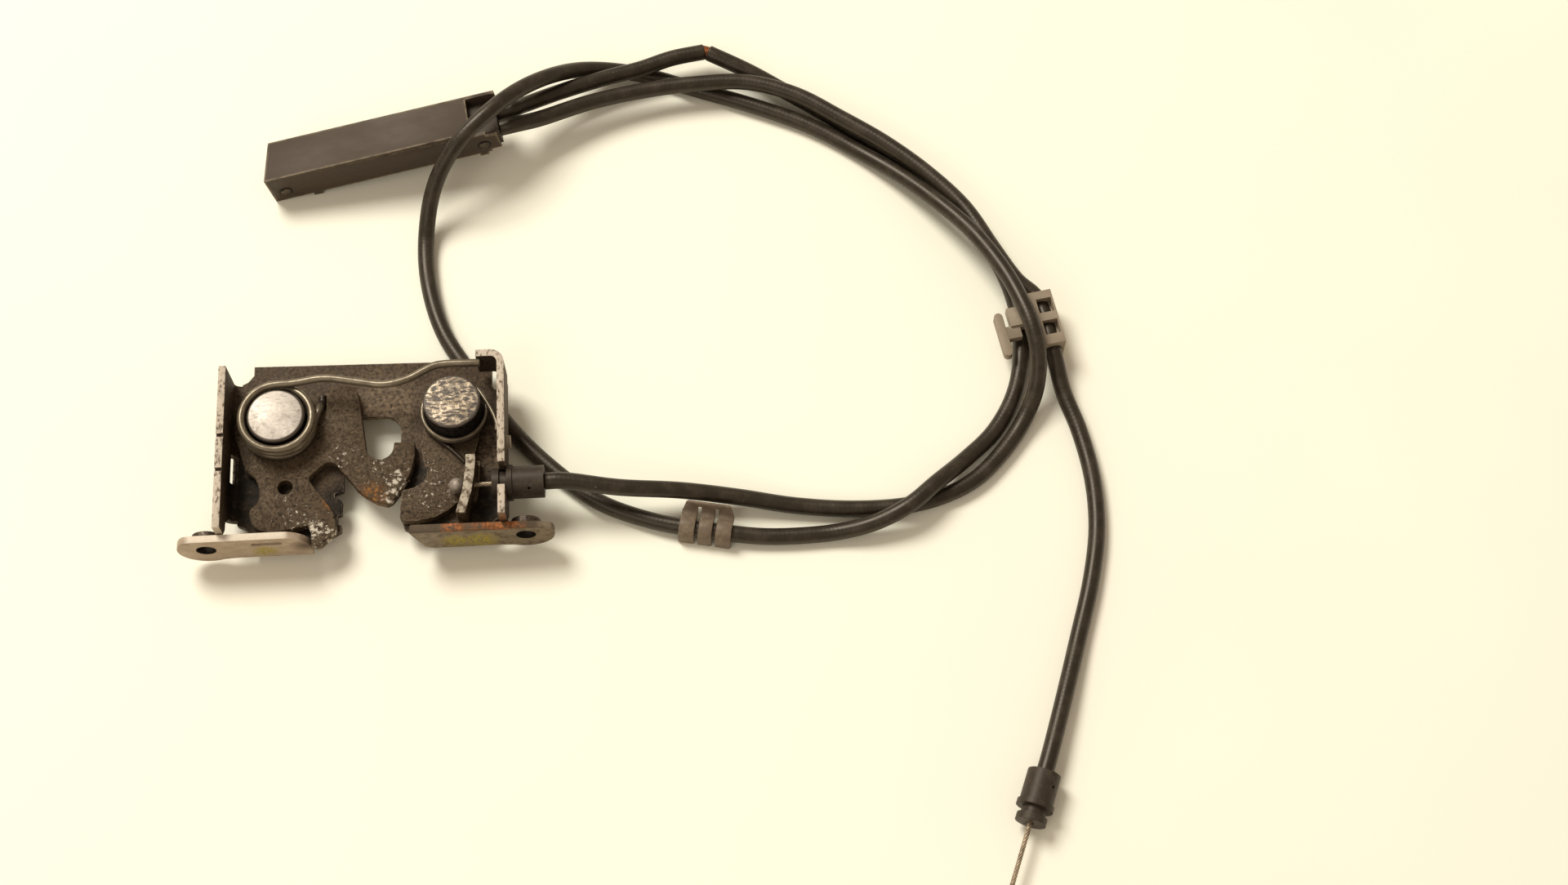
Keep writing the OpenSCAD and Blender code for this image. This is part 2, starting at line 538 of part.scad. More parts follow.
// Clip with three fingers over the cable and a lip that turns up behind it
module finger_clip() {
    wall = 1.2;
    length = 18.6;
    slit = 1.3;
    inner = sheath_r + 0.15;
    outer = inner + wall;
    lip = [8.1, finger_cable_z + 6.4];
    section = concat([[-outer - 0.3, 0.5]], arc([0, finger_cable_z], outer, 180, 35, 12),
        [[5, finger_cable_z + 1.9], [6.1, finger_cable_z + 2.8], lip - [0.9, 0], lip,
        [7.1, finger_cable_z + 1.9], [5.4, finger_cable_z + 0.6], [4.1, finger_cable_z + 0.5]],
        arc([0, finger_cable_z], inner, 30, 180, 12), [[-inner - 0.3, 0.5]]);
    color("#7c766d") translate([finger_at[0], finger_at[1], 0]) rotate(finger_turn) difference() {
        translate([-length / 2, 0, 0]) rotate([90, 0, 90]) linear_extrude(length) polygon(section);
        for (x = [-length / 6, length / 6]) translate([x - slit / 2, -8, -1]) cube([slit, 14.3, 13]);
        for (x = [-length / 6, length / 6]) translate([x - slit / 2, 6, 0])
            cube([slit, 3, finger_cable_z + 4.2]);
        for (s = [-1, 1]) linear_extrude(12)
            polygon([[s * length / 2, 5.8], [s * length / 2, 9], [s * (length / 2 - 2.6), 9]]);
    }
}

// Places its children in the junction's own axes
module in_junction() {
    translate(junction_at) rotate([0, -junction_pitch, junction_turn]) children();
}

// The plan of the channel less a margin all round, with its closed end cut at a slant
module channel_plan(l, margin) {
    polygon([[end_slant * margin + margin, margin], [l, margin], [l, channel_w - margin],
        [end_slant * (channel_w - margin) + margin, channel_w - margin]]);
}

module junction_channel() {
    roof_l = channel_l - channel_open;
    seam_l = roof_l - 20;
    color("#2e2b28") in_junction() difference() {
        union() {
            linear_extrude(channel_h) channel_plan(roof_l, 0);
            linear_extrude(channel_h - 3) channel_plan(channel_l - 4, 0);
            translate([channel_l - 5, 0, 1.5]) cube([5, channel_w, channel_h - 6]);
            translate([roof_l - 1, channel_w - channel_t, 0]) cube([channel_open + 3, channel_t, channel_h]);
            for (x = [14.5, channel_l - 9]) translate([x, 0, -1.6]) cube([3.4, channel_t, 2]);
        }
        translate([0, 0, -5]) linear_extrude(channel_h + 5 - channel_t)
            channel_plan(channel_l + 1, channel_t);
        translate([roof_l, channel_t, 0]) cube([channel_l, block_inner_w, channel_h + 1]);
        for (x = [5.5, channel_l - 6]) translate([x, -1, block_z - 1.5]) rotate([-90, 0, 0])
            cylinder(r = cross_pin_r + 0.02, h = channel_w + 2);
        translate([20, 0.5, channel_h - 1.4]) rotate([90, 0, 0]) linear_extrude(1)
            polygon([[0, 0], [seam_l, 0], [seam_l, -1]]);
    }
}

// The block that holds both cable ends, and the carrier of the return pulley
block_l = 20;
block_h = 9;
carrier_l = 17;
wire_up = 1.6;
module cable_block() {
    color("#3a3530") in_junction() difference() {
        translate([channel_l + 1 - block_l, channel_t, block_z - block_h / 2])
            cube([block_l, block_inner_w, block_h]);
        for (s = [-1, 1]) translate([0, channel_w / 2 + s * cable_pitch / 2, block_z + wire_up])
            rotate([0, 90, 0]) cylinder(r = wire_bore_r, h = channel_l - 3);
        translate([channel_l - 6, 0, block_z - 1.5]) rotate([-90, 0, 0])
            cylinder(r = cross_pin_r + 0.02, h = channel_w);
    }
}

module cross_pin(x) {
    color("#6f6a63") in_junction() translate([x, -0.4, block_z - 1.5]) rotate([-90, 0, 0])
        cylinder(r = cross_pin_r, h = channel_w + 0.8);
}

module block_rivet() cross_pin(channel_l - 6);
module carrier_pin() cross_pin(5.5);

axle_r = 1.2;
pulley_z = block_z + wire_up;
pulley_r = cable_pitch / 2 + wire_d / 2 + 0.6;
groove_r = cable_pitch / 2 - wire_d / 2 - 0.15;
module pulley_carrier() {
    base = block_z - block_h / 2;
    color("#3a3530") in_junction() difference() {
        translate([0, 0, base]) linear_extrude(pulley_z - pulley_t / 2 - turn_gap - base)
            channel_plan(carrier_l + 2.9, channel_t);
        translate([5.5, 0, block_z - 1.5]) rotate([-90, 0, 0])
            cylinder(r = cross_pin_r + 0.02, h = channel_w);
        translate([pulley_x + 1.5, channel_w / 2, base + 0.6]) cylinder(r = axle_r + 0.02, h = channel_h);
    }
}

module pulley_axle() {
    color("#a9a59e") in_junction() translate([pulley_x + 1.5, channel_w / 2, block_z - block_h / 2 + 0.6])
        cylinder(r = axle_r, h = channel_h - channel_t - block_z + block_h / 2 - 0.8);
}

module return_pulley() {
    half = pulley_t / 2;
    lip = (pulley_t - wire_d) / 2 - 0.25;
    color("#c9c2b2") in_junction() translate([pulley_x + 1.5, channel_w / 2, pulley_z]) rotate_extrude()
        polygon([[axle_r + pivot_clear, -half], [pulley_r, -half], [pulley_r, -half + lip],
            [groove_r, -half + lip], [groove_r, half - lip],
            [pulley_r, half - lip], [pulley_r, half], [axle_r + pivot_clear, half]]);
}

module return_wire() {
    x = pulley_x + 1.5;
    color("#a89f8d") in_junction() translate([x, channel_w / 2, pulley_z]) {
        rotate(90) rotate_extrude(angle = 180) translate([cable_pitch / 2, 0]) circle(d = wire_d);
        for (s = [-1, 1]) translate([0, s * cable_pitch / 2, 0]) rotate([0, 90, 0])
            cylinder(d = wire_d, h = channel_l - 5 - x);
    }
}

// Places its children at the free end of the release cable, with +X from the wire's end to the cable
module at_free_end() {
    translate([free_end_at[0], free_end_at[1], free_z]) rotate(90 - free_end_turn)
        translate([-ferrule_l, 0, 0]) children();
}

module release_ferrule() at_free_end() ferrule();
module release_wire() {
    color("#a89f8d") at_free_end() translate([-free_wire_l, 0, 0]) wire_along(free_wire_l + 12);
}

module release_nipple() {
    color("#8f8b84") at_free_end() translate([-free_wire_l, 0, 0]) ball_nipple();
}

// Block clip: a channel for the cable, two square windows on top, and a side arm with a T foot
module block_clip() {
    w = 8.8;
    l = 21.6;
    h = 14;
    window = 5.6;
    color("#8a847a") translate([clip_at[0], clip_at[1], 0]) rotate(clip_turn) difference() {
        union() {
            translate([-w / 2, -l / 2 + 0.4, 0]) cube([w, l, h]);
            translate([-12.8, 1, 7]) cube([12.8 - w / 2, 7.4, 4]);
            translate([-15, -3.4, 7]) cube([15 - w / 2, 5, 3]);
            translate([-16.2, -1.1, 6.7]) linear_extrude(3.5) offset(r = 1.6)
                square([0.01, 14.2], center = true);
        }
        translate([0, l, clip_cable_z]) rotate([90, 0, 0]) cylinder(r = sheath_r + 0.15, h = 2 * l);
        for (y = [-3.7, 5.2]) translate([-w / 2 + 2.5, y - window / 2, h - 4]) cube([window, window, 5]);
        translate([-9.5, -4, 6]) cube([3, 4.6, 8]);
    }
}

// The bench frame is lowered so that the origin lies between the ear bolts
module in_frame() translate([0, 0, -hole_z]) children();

in_frame() base_plate();
in_frame() weld_nuts();
in_frame() catch();
in_frame() catch_rivet();
in_frame() catch_spring();
in_frame() pawl();
in_frame() pawl_rivet();
in_frame() pawl_spring();
in_frame() pivot_washers();
in_frame() latch_wire();
in_frame() latch_nipple();
in_frame() latch_ferrule();
in_frame() latch_cable();
in_frame() sheath_core();
in_frame() junction_cable();
in_frame() finger_clip();
in_frame() junction_channel();
in_frame() cable_block();
in_frame() block_rivet();
in_frame() pulley_carrier();
in_frame() carrier_pin();
in_frame() pulley_axle();
in_frame() return_pulley();
in_frame() return_wire();
in_frame() release_cable();
in_frame() block_clip();
in_frame() release_ferrule();
in_frame() release_wire();
in_frame() release_nipple();
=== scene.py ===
import math

import bmesh
import bpy
from bpy.props import FloatProperty, FloatVectorProperty, IntProperty, PointerProperty
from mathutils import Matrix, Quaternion, Vector


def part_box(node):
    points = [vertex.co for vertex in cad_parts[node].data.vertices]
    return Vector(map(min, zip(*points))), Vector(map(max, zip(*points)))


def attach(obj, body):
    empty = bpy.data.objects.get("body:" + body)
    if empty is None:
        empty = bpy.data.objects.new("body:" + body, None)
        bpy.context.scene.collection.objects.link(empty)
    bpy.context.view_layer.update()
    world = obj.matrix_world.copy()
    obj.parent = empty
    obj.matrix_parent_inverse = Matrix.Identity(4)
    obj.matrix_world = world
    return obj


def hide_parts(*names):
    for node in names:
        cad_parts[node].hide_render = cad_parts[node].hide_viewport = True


bl_info = {
    "name": "Bonnet latch",
    "version": (1, 0, 0),
    "blender": (4, 5, 0),
    "location": "3D View > Sidebar > Latch",
    "description": "Dresses the solids of a bonnet latch and its release cables",
    "category": "Object",
}

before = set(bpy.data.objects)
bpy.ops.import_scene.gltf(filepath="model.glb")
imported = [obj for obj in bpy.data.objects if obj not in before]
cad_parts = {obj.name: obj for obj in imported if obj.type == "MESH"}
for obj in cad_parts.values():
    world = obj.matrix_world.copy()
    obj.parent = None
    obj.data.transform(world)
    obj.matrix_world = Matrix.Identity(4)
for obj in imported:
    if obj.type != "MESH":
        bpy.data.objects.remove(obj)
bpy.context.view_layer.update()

MM = 0.001
BENCH_Z = -13.2  # the bench top in the latch's frame, millimetres
CATCH_AT = (-31.0, 45.5)
PAWL_AT = (31.0, 47.0)
CATCH_HEAD = 24.1 + BENCH_Z
PAWL_HEAD = 25.6 + BENCH_Z
ARM_TOP = 22.3 + BENCH_Z
FLANGE_TOP = 26.6 + BENCH_Z
BOLT_X = 55.5  # half the distance between the ear holes
HEAD_RIM_SHADE = (9.0, 9.7)  # radii between which the painted shade on the chamfered edge of a rivet's head begins

# Junction channel, block clip and free ferrule, as they are placed on the bench in the part's source
JUNCTION_AT = (-38.0, 145.5, 0.0)
JUNCTION_TURN = math.radians(8)
JUNCTION_PITCH = math.radians(7)
CLIP_AT = (244.7, 74.0, 8.4)
CLIP_TURN = math.radians(10)
FREE_END = (228.3, -93.4, 6.4)
FREE_TURN = math.radians(21)
FERRULE_L = 18.0
FERRULE_END = (62.45, 18.2, 17.0)
LEAD = 6.0

# Springs and the bare liner, in millimetres and degrees
CATCH_COIL_R, CATCH_WIRE_R = 12.3, 1.4
PAWL_COIL_R, PAWL_WIRE_R = 11.3, 0.75
SPRING_SPANS = 4  # spans of the smooth path between two given points
SPRING_END = 0.35  # rounding of a spring's cut end, as a share of its wire's radius
LINER_R, LINER_PITCH, LINER_WIRE_R = 2.0, 0.8, 0.4


def hex_linear(code):
    """An sRGB hex colour as linear red, green, blue and alpha."""
    parts = [int(code[i:i + 2], 16) / 255 for i in (1, 3, 5)]
    return tuple(p / 12.92 if p <= 0.04045 else ((p + 0.055) / 1.055) ** 2.4 for p in parts) + (1.0,)


WARM = hex_linear("#fff0dc")  # dusty films turn the light a little brown


def on_bench(point):
    """A point in bench millimetres, in the latch's frame in metres."""
    return Vector((point[0], point[1], point[2] + BENCH_Z)) * MM


def junction_point(x, y, z):
    """A point given along, across and up the junction channel, in bench millimetres."""
    run = x * math.cos(JUNCTION_PITCH) - z * math.sin(JUNCTION_PITCH)
    rise = x * math.sin(JUNCTION_PITCH) + z * math.cos(JUNCTION_PITCH)
    return (JUNCTION_AT[0] + run * math.cos(JUNCTION_TURN) - y * math.sin(JUNCTION_TURN),
            JUNCTION_AT[1] + run * math.sin(JUNCTION_TURN) + y * math.cos(JUNCTION_TURN),
            JUNCTION_AT[2] + rise)


def clip_point(along):
    """A point along the block clip's channel, in bench millimetres."""
    return (CLIP_AT[0] + along * math.sin(CLIP_TURN), CLIP_AT[1] - along * math.cos(CLIP_TURN),
            CLIP_AT[2])


def free_point(along):
    """A point along the axis of the free ferrule, towards the cable, in bench millimetres."""
    return (FREE_END[0] + along * math.sin(FREE_TURN), FREE_END[1] + along * math.cos(FREE_TURN),
            FREE_END[2])


# Cable routes in bench millimetres, the same points as in the part's source
CHANNEL_END = 89.0
CABLE_ACROSS = (4.6, 11.4)
CABLE_UP = 7.0
LATCH_ROUTE = [
    FERRULE_END, (FERRULE_END[0] + LEAD, FERRULE_END[1], FERRULE_END[2]),
    (88, 15.6, 14.5), (110, 15, 10.3), (130, 13, 6.4), (150, 9.8, 3.6), (171, 7.6, 3.1), (190, 8, 3.1),
    (204, 11.4, 3.1), (215, 17, 3.1), (225, 26.5, 3.1), (233, 37, 4), (238.5, 47.5, 8.5),
    (240, 58, 15.5), (238.5, 69, 18.6), (235, 81, 18.6), (230, 94, 17), (221, 110, 15.2),
    (210, 125, 11.5), (197, 140, 7), (182, 153.5, 3.5), (164, 166, 3.1), (143, 176, 3.1),
    (121, 184.6, 3.1), (104, 191, 3.4), (91, 193, 5.5), (78.1, 189.9, 12), (66.4, 181.6, 21.2),
    (55, 171.5, 27.9), (44, 160.4, 30.8), (32.5, 150.2, 26.8), (23.5, 140, 15.8), (19.1, 126, 5),
    (19.6, 107.2, 3.1), (25.2, 85.6, 3.1), (37, 65, 3.1), (49, 46, 3.1), (63, 30, 3.1), (80, 15.5, 3.1),
    (99, 7, 3.1), (118, 2, 4), (139, -1.2, 3.1), (161, -1.2, 3.1), (177, 0.5, 6.4), (190, 5.5, 9.6),
    (200.5, 14, 8.8), (211.6, 24, 4.6), (222.8, 34.8, 3.1), (231.4, 49, 3.1), (235.6, 66, 3.1),
    (235.5, 84, 3.1), (231, 102, 3.1), (221, 121, 3.1), (206.6, 139.5, 3.1), (190.4, 155.1, 3.1),
    (173.3, 168.7, 3.1), (159.2, 179.1, 3.1), (142.2, 189.1, 6.7), (127, 196.4, 9.7)]
JUNCTION_ROUTE = [
    junction_point(CHANNEL_END, CABLE_ACROSS[1], CABLE_UP),
    junction_point(CHANNEL_END + LEAD, CABLE_ACROSS[1], CABLE_UP),
    (57, 173, 16), (70, 179.5, 13.4), (87, 186.3, 11), (101, 190.4, 10), (113, 194.6, 9.8),
    (125.5, 196.9, 9.7)]
RELEASE_ROUTE = [
    junction_point(CHANNEL_END, CABLE_ACROSS[0], CABLE_UP),
    junction_point(CHANNEL_END + LEAD, CABLE_ACROSS[0], CABLE_UP),
    (62.2, 167, 15.2), (81.4, 175.5, 11.6), (101.2, 180.6, 9.9), (122, 182.8, 9.7), (141.8, 182.2, 9.9),
    (159.6, 175.6, 10), (175.5, 164.9, 9.8), (191.5, 153.1, 9.7), (206.6, 139, 9.7), (219.4, 123.4, 9.7),
    (228.4, 105.8, 9.7), (235.9, 92.3, 9.4),
    clip_point(-11), clip_point(11),
    (249, 49.6, 4.4), (253.5, 33.7, 3.1), (256.3, 14.9, 3.1), (255.9, -4, 3.1), (252, -23, 3.1),
    (245, -45, 3.4), (237, -69, 5.4), free_point(LEAD), free_point(0)]


class LatchSizes(bpy.types.PropertyGroup):
    """Sizes of the dressing that a user would change."""
    sheet_edge: FloatProperty(name="Sheet edge", description="Rounding of the folded plate's edges",
                              default=0.00035, unit="LENGTH")
    lever_edge: FloatProperty(name="Lever edge", description="Rounding of the catch's and pawl's edges",
                              default=0.00045, unit="LENGTH")
    rivet_edge: FloatProperty(name="Rivet edge", description="Rounding of the turned pivot rivets",
                              default=0.0004, unit="LENGTH")
    channel_edge: FloatProperty(name="Channel edge", description="Rounding of the junction channel's folds",
                                default=0.0005, unit="LENGTH")
    pin_edge: FloatProperty(name="Pin edge", description="Rounding of the channel's cross pins",
                            default=0.0003, unit="LENGTH")
    moulded_edge: FloatProperty(name="Moulded edge", description="Rounding of the moulded fittings",
                                default=0.0003, unit="LENGTH")
    sheath_d: FloatProperty(name="Sheath diameter", description="Outside diameter of the cable sheath",
                            default=0.006, unit="LENGTH")
    wire_d: FloatProperty(name="Wire diameter", description="Diameter of the stranded inner wire",
                          default=0.0017, unit="LENGTH")
    wire_strands: IntProperty(name="Strands", description="Strands round the core of the inner wire",
                              default=6)
    wire_lay: FloatProperty(name="Lay length", description="Length of one turn of a strand",
                            default=0.009, unit="LENGTH")


class LatchColours(bpy.types.PropertyGroup):
    """Main colours of the finishes."""
    sheet: FloatVectorProperty(name="Sheet", description="Dulled plating of the plate", subtype="COLOR",
                               size=4, default=hex_linear("#43362a"))
    ear: FloatVectorProperty(name="Ear", description="Cleaner plating of the bolt ears", subtype="COLOR",
                             size=4, default=hex_linear("#b19f89"))
    lever: FloatVectorProperty(name="Lever", description="Worn steel of the levers", subtype="COLOR",
                               size=4, default=hex_linear("#4b3d2d"))
    sheath: FloatVectorProperty(name="Sheath", description="Extruded cable sheath", subtype="COLOR",
                                size=4, default=hex_linear("#272118"))
    fitting: FloatVectorProperty(name="Fitting", description="Moulded ferrules", subtype="COLOR",
                                 size=4, default=hex_linear("#352d25"))
    finger: FloatVectorProperty(name="Finger clip", description="Moulded finger clip", subtype="COLOR",
                                size=4, default=hex_linear("#6b5d4d"))
    block: FloatVectorProperty(name="Block clip", description="Moulded block clip", subtype="COLOR",
                               size=4, default=hex_linear("#90826e"))
    channel: FloatVectorProperty(name="Channel", description="Paint of the channel", subtype="COLOR",
                                 size=4, default=hex_linear("#3d3228"))
    bench: FloatVectorProperty(name="Bench", description="Pale bench top", subtype="COLOR",
                               size=4, default=hex_linear("#faf8e2"))


def add(tree, kind, inputs=None, **settings):
    """Add one node to a tree, set its properties, and set or link its inputs."""
    made = tree.nodes.new(kind)
    for key, value in settings.items():
        setattr(made, key, value)
    for key, value in (inputs or {}).items():
        if isinstance(value, bpy.types.NodeSocket):
            tree.links.new(value, made.inputs[key])
        else:
            made.inputs[key].default_value = value
    return made


def start_finish(name):
    """A new material: its tree, its shader and its Object coordinates in millimetres."""
    material = bpy.data.materials.new(name)
    material.use_nodes = True
    tree = material.node_tree
    coords = add(tree, "ShaderNodeTexCoord").outputs["Object"]
    scaled = add(tree, "ShaderNodeVectorMath", {0: coords, "Scale": 1000.0}, operation="SCALE")
    return material, tree, tree.nodes["Principled BSDF"], scaled.outputs["Vector"]


def mottle(tree, place, size, low, high, detail=5.0, stretch=(1, 1, 1), shift=0.0):
    """Blotches about size millimetres across, 0 below low and 1 above high."""
    moved = add(tree, "ShaderNodeMapping", {"Vector": place, "Location": (shift, 0.7 * shift, 1.3 * shift),
                                            "Scale": tuple(1 / (size * s) for s in stretch)})
    noise = add(tree, "ShaderNodeTexNoise", {"Vector": moved.outputs[0], "Scale": 1.0, "Detail": detail,
                                             "Roughness": 0.62})
    return add(tree, "ShaderNodeMapRange",
               {"Value": noise.outputs[0], "From Min": low, "From Max": high}).outputs[0]


def near(tree, place, centre, radius, fade):
    """1 within radius millimetres of a point, fading to 0 over the next fade millimetres."""
    gap = add(tree, "ShaderNodeVectorMath", {0: place, 1: centre}, operation="DISTANCE")
    return add(tree, "ShaderNodeMapRange", {"Value": gap.outputs["Value"], "From Min": radius + fade,
                                            "From Max": radius}).outputs[0]


def along(tree, place, axis, start, end):
    """0 at start and 1 at end, in millimetres along one axis."""
    part = add(tree, "ShaderNodeSeparateXYZ", {0: place}).outputs[axis]
    return add(tree, "ShaderNodeMapRange", {"Value": part, "From Min": start, "From Max": end}).outputs[0]


def both(tree, *masks, how="MULTIPLY"):
    """Masks joined in turn by one sum, MULTIPLY or MAXIMUM among them."""
    joined = masks[0]
    for mask in masks[1:]:
        joined = add(tree, "ShaderNodeMath", {0: joined, 1: mask}, operation=how, use_clamp=True).outputs[0]
    return joined


def layered(tree, base, *coats):
    """Colours laid over a base, each where its mask is 1."""
    colour = base
    for over, mask in coats:
        colour = add(tree, "ShaderNodeMix", {0: mask, 6: colour, 7: over}, data_type="RGBA").outputs[2]
    return colour


def rough_between(tree, mask, low, high):
    """Roughness that goes from low where a mask is 0 to high where it is 1."""
    return add(tree, "ShaderNodeMapRange", {"Value": mask, "To Min": low, "To Max": high}).outputs[0]


def relief(tree, shader, height, depth_mm, strength=1.0, under=None):
    """Raise the surface by a height mask of the given depth."""
    inputs = {"Height": height, "Strength": strength, "Distance": depth_mm * MM}
    if under is not None:
        inputs["Normal"] = under
    bump = add(tree, "ShaderNodeBump", inputs)
    tree.links.new(bump.outputs[0], shader.inputs["Normal"])
    return bump.outputs[0]


def bloom(tree, place, size, zone, start, reach, shift=0.0):
    """Specks of corrosion about size millimetres across: a few anywhere, many where the zone mask is 1."""
    moved = add(tree, "ShaderNodeMapping", {"Vector": place, "Location": (shift, 0.7 * shift, 1.3 * shift),
                                            "Scale": (1 / size, 1 / size, 1 / size)})
    noise = add(tree, "ShaderNodeTexNoise", {"Vector": moved.outputs[0], "Scale": 1.0, "Detail": 10.0,
                                             "Roughness": 0.7})
    raised = add(tree, "ShaderNodeMath", {0: zone, 1: reach, 2: noise.outputs[0]},
                 operation="MULTIPLY_ADD").outputs[0]
    return add(tree, "ShaderNodeMapRange",
               {"Value": raised, "From Min": start, "From Max": start + 0.05}).outputs[0]


def edge_wear(tree, width_mm):
    """1 on the edges, within about width_mm of where the surface turns."""
    turned = add(tree, "ShaderNodeBevel", {"Radius": width_mm * MM}, samples=6).outputs[0]
    plain = add(tree, "ShaderNodeNewGeometry").outputs["Normal"]
    alike = add(tree, "ShaderNodeVectorMath", {0: turned, 1: plain}, operation="DOT_PRODUCT")
    return add(tree, "ShaderNodeMapRange",
               {"Value": alike.outputs["Value"], "From Min": 0.98, "From Max": 0.8}).outputs[0]


def zones(tree, place, spots):
    """1 inside any of the spots, each a centre, a radius and a fade in millimetres."""
    return both(tree, *[near(tree, place, *spot) for spot in spots], how="MAXIMUM")


def dulled_plated_sheet(colours):
    """Pressed sheet steel, zinc plated long ago: brown dull film, corners greased black and darkened further
    by painted shade, bare bright metal where the top edges rub, lightened further by painted top light and
    edge highlights, a painted pool of light beside the right flange, bolt holes painted dark as shade, paler
    ears with dabs of yellow paint, rust on the right ear's edge."""
    material, tree, shader, place = start_finish("dulled_plated_sheet")
    film = mottle(tree, place, 5.0, 0.35, 0.7)
    grain = mottle(tree, place, 1.3, 0.42, 0.68, detail=8.0, shift=7)
    # Black grease spots, deepened into painted shade in the corners and in the cavity beside the pawl at
    # (17, 25.5).
    grease_and_shade_spots = zones(tree, place, [((-41, 22, -4), 9, 9), ((-9, 17, -4), 5, 5), ((42, 14, -4), 4, 7),
                                 ((20, 12, -4), 5, 6), ((-20, 8, -4), 6, 6), ((17, 25.5, -4), 4, 3)])
    # The spot at (5, 55) is rubbed bare; the spot at (43, 36), beside the right flange, is a painted pool of
    # light.
    rub_and_light_spots = zones(tree, place, [((5, 55, -4), 7, 9), ((43, 36, -4), 5, 6)])
    rubbed = both(tree, rub_and_light_spots, mottle(tree, place, 3.0, 0.3, 0.6, shift=14))
    # The edges are lighter partly from wear and partly as a painted highlight.
    edges = both(tree, edge_wear(tree, 0.9), mottle(tree, place, 2.0, 0.42, 0.6, shift=15))
    grease_and_painted_shade = both(tree, grease_and_shade_spots, mottle(tree, place, 3.0, 0.2, 0.5, shift=3))
    crust_zone = zones(tree, place, [((14, 56, 0), 3, 6), ((-36, 66, 0), 4, 8), ((2, 60, 0), 2, 5)])
    crust = bloom(tree, place, 1.1, crust_zone, 0.7, 0.1, 12)
    ear = along(tree, place, 1, 3.6, 2.4)
    right_ear = both(tree, ear, along(tree, place, 0, 8.0, 12.0))
    ear_film = mottle(tree, place, 3.0, 0.4, 0.75, stretch=(1.6, 1, 1), shift=2)
    ear_end = both(tree, ear, zones(tree, place, [((12, 0, 0), 3, 4), ((-21, 0, 0), 1, 5)]))
    ear_edge = both(tree, right_ear, along(tree, place, 2, 5.6, 6.1))
    rust_zone = zones(tree, place, [((31, 1, 7), 2, 3), ((46, 1, 7), 5, 6)])
    rust = both(tree, ear_edge, rust_zone,
                mottle(tree, place, 2.2, 0.36, 0.52, stretch=(1.6, 1, 1), shift=9))
    ochre = both(tree, rust, mottle(tree, place, 1.2, 0.45, 0.6, shift=17))
    # The flange tops are lighter partly as rubbed bare metal and partly as painted top light.
    top = along(tree, place, 2, FLANGE_TOP - 0.5, FLANGE_TOP - 0.1)
    worn = mottle(tree, place, 1.2, 0.36, 0.5, detail=6.0, stretch=(0.8, 1.7, 1), shift=5)
    ear_top = both(tree, ear, along(tree, place, 0, 0.0, -4.0), along(tree, place, 2, 7.2, 7.5))
    # The bolt holes through the ears are painted dark as shade.
    painted_bore_shade = zones(tree, place, [((x, 1.2, 0), 3.65, 0.15) for x in (-BOLT_X, BOLT_X)])
    blotch = both(tree, right_ear, mottle(tree, place, 2.6, 0.46, 0.66, shift=19))
    knob = near(tree, place, (51, 33.5, 4.9), 2.6, 0.8)
    dab_zone = zones(tree, place, [((-35.5, 0, -3.4), 2.2, 3.6), ((31, 0, -2.6), 2.5, 4),
                                   ((39.5, 0, -2.8), 3, 4.5)])
    dabs = both(tree, ear, dab_zone, mottle(tree, place, 1.6, 0.34, 0.58, stretch=(0.7, 1, 1.3), shift=4))
    colour = layered(
        tree, tuple(colours.sheet),
        (hex_linear("#5c4c3a"), film), (hex_linear("#7d6b55"), rubbed),
        (hex_linear("#261d14"), grain), (hex_linear("#120e09"), grease_and_painted_shade),
        (hex_linear("#a39580"), edges), (hex_linear("#b5a691"), crust), (hex_linear("#a1937f"), knob),
        (hex_linear("#5d4f40"), top), (hex_linear("#bfb19d"), both(tree, top, worn)),
        (tuple(colours.ear), ear), (hex_linear("#98846d"), both(tree, ear, ear_film)),
        (hex_linear("#d6c8b3"), ear_top), (hex_linear("#7a6c57"), right_ear),
        (hex_linear("#574938"), blotch), (hex_linear("#5d4f40"), ear_end), (hex_linear("#4f4233"), ear_edge),
        (hex_linear("#998a34"), dabs), (hex_linear("#6e4423"), rust),
        (hex_linear("#a26136"), ochre), (hex_linear("#1d1711"), painted_bore_shade))
    tree.links.new(colour, shader.inputs["Base Color"])
    shader.inputs["Metallic"].default_value = 0.1
    shader.inputs["Specular IOR Level"].default_value = 0.25
    shader.inputs["Specular Tint"].default_value = WARM
    tree.links.new(rough_between(tree, film, 0.5, 0.68), shader.inputs["Roughness"])
    relief(tree, shader, both(tree, grain, crust, how="MAXIMUM"), 0.12, 0.6)
    return material


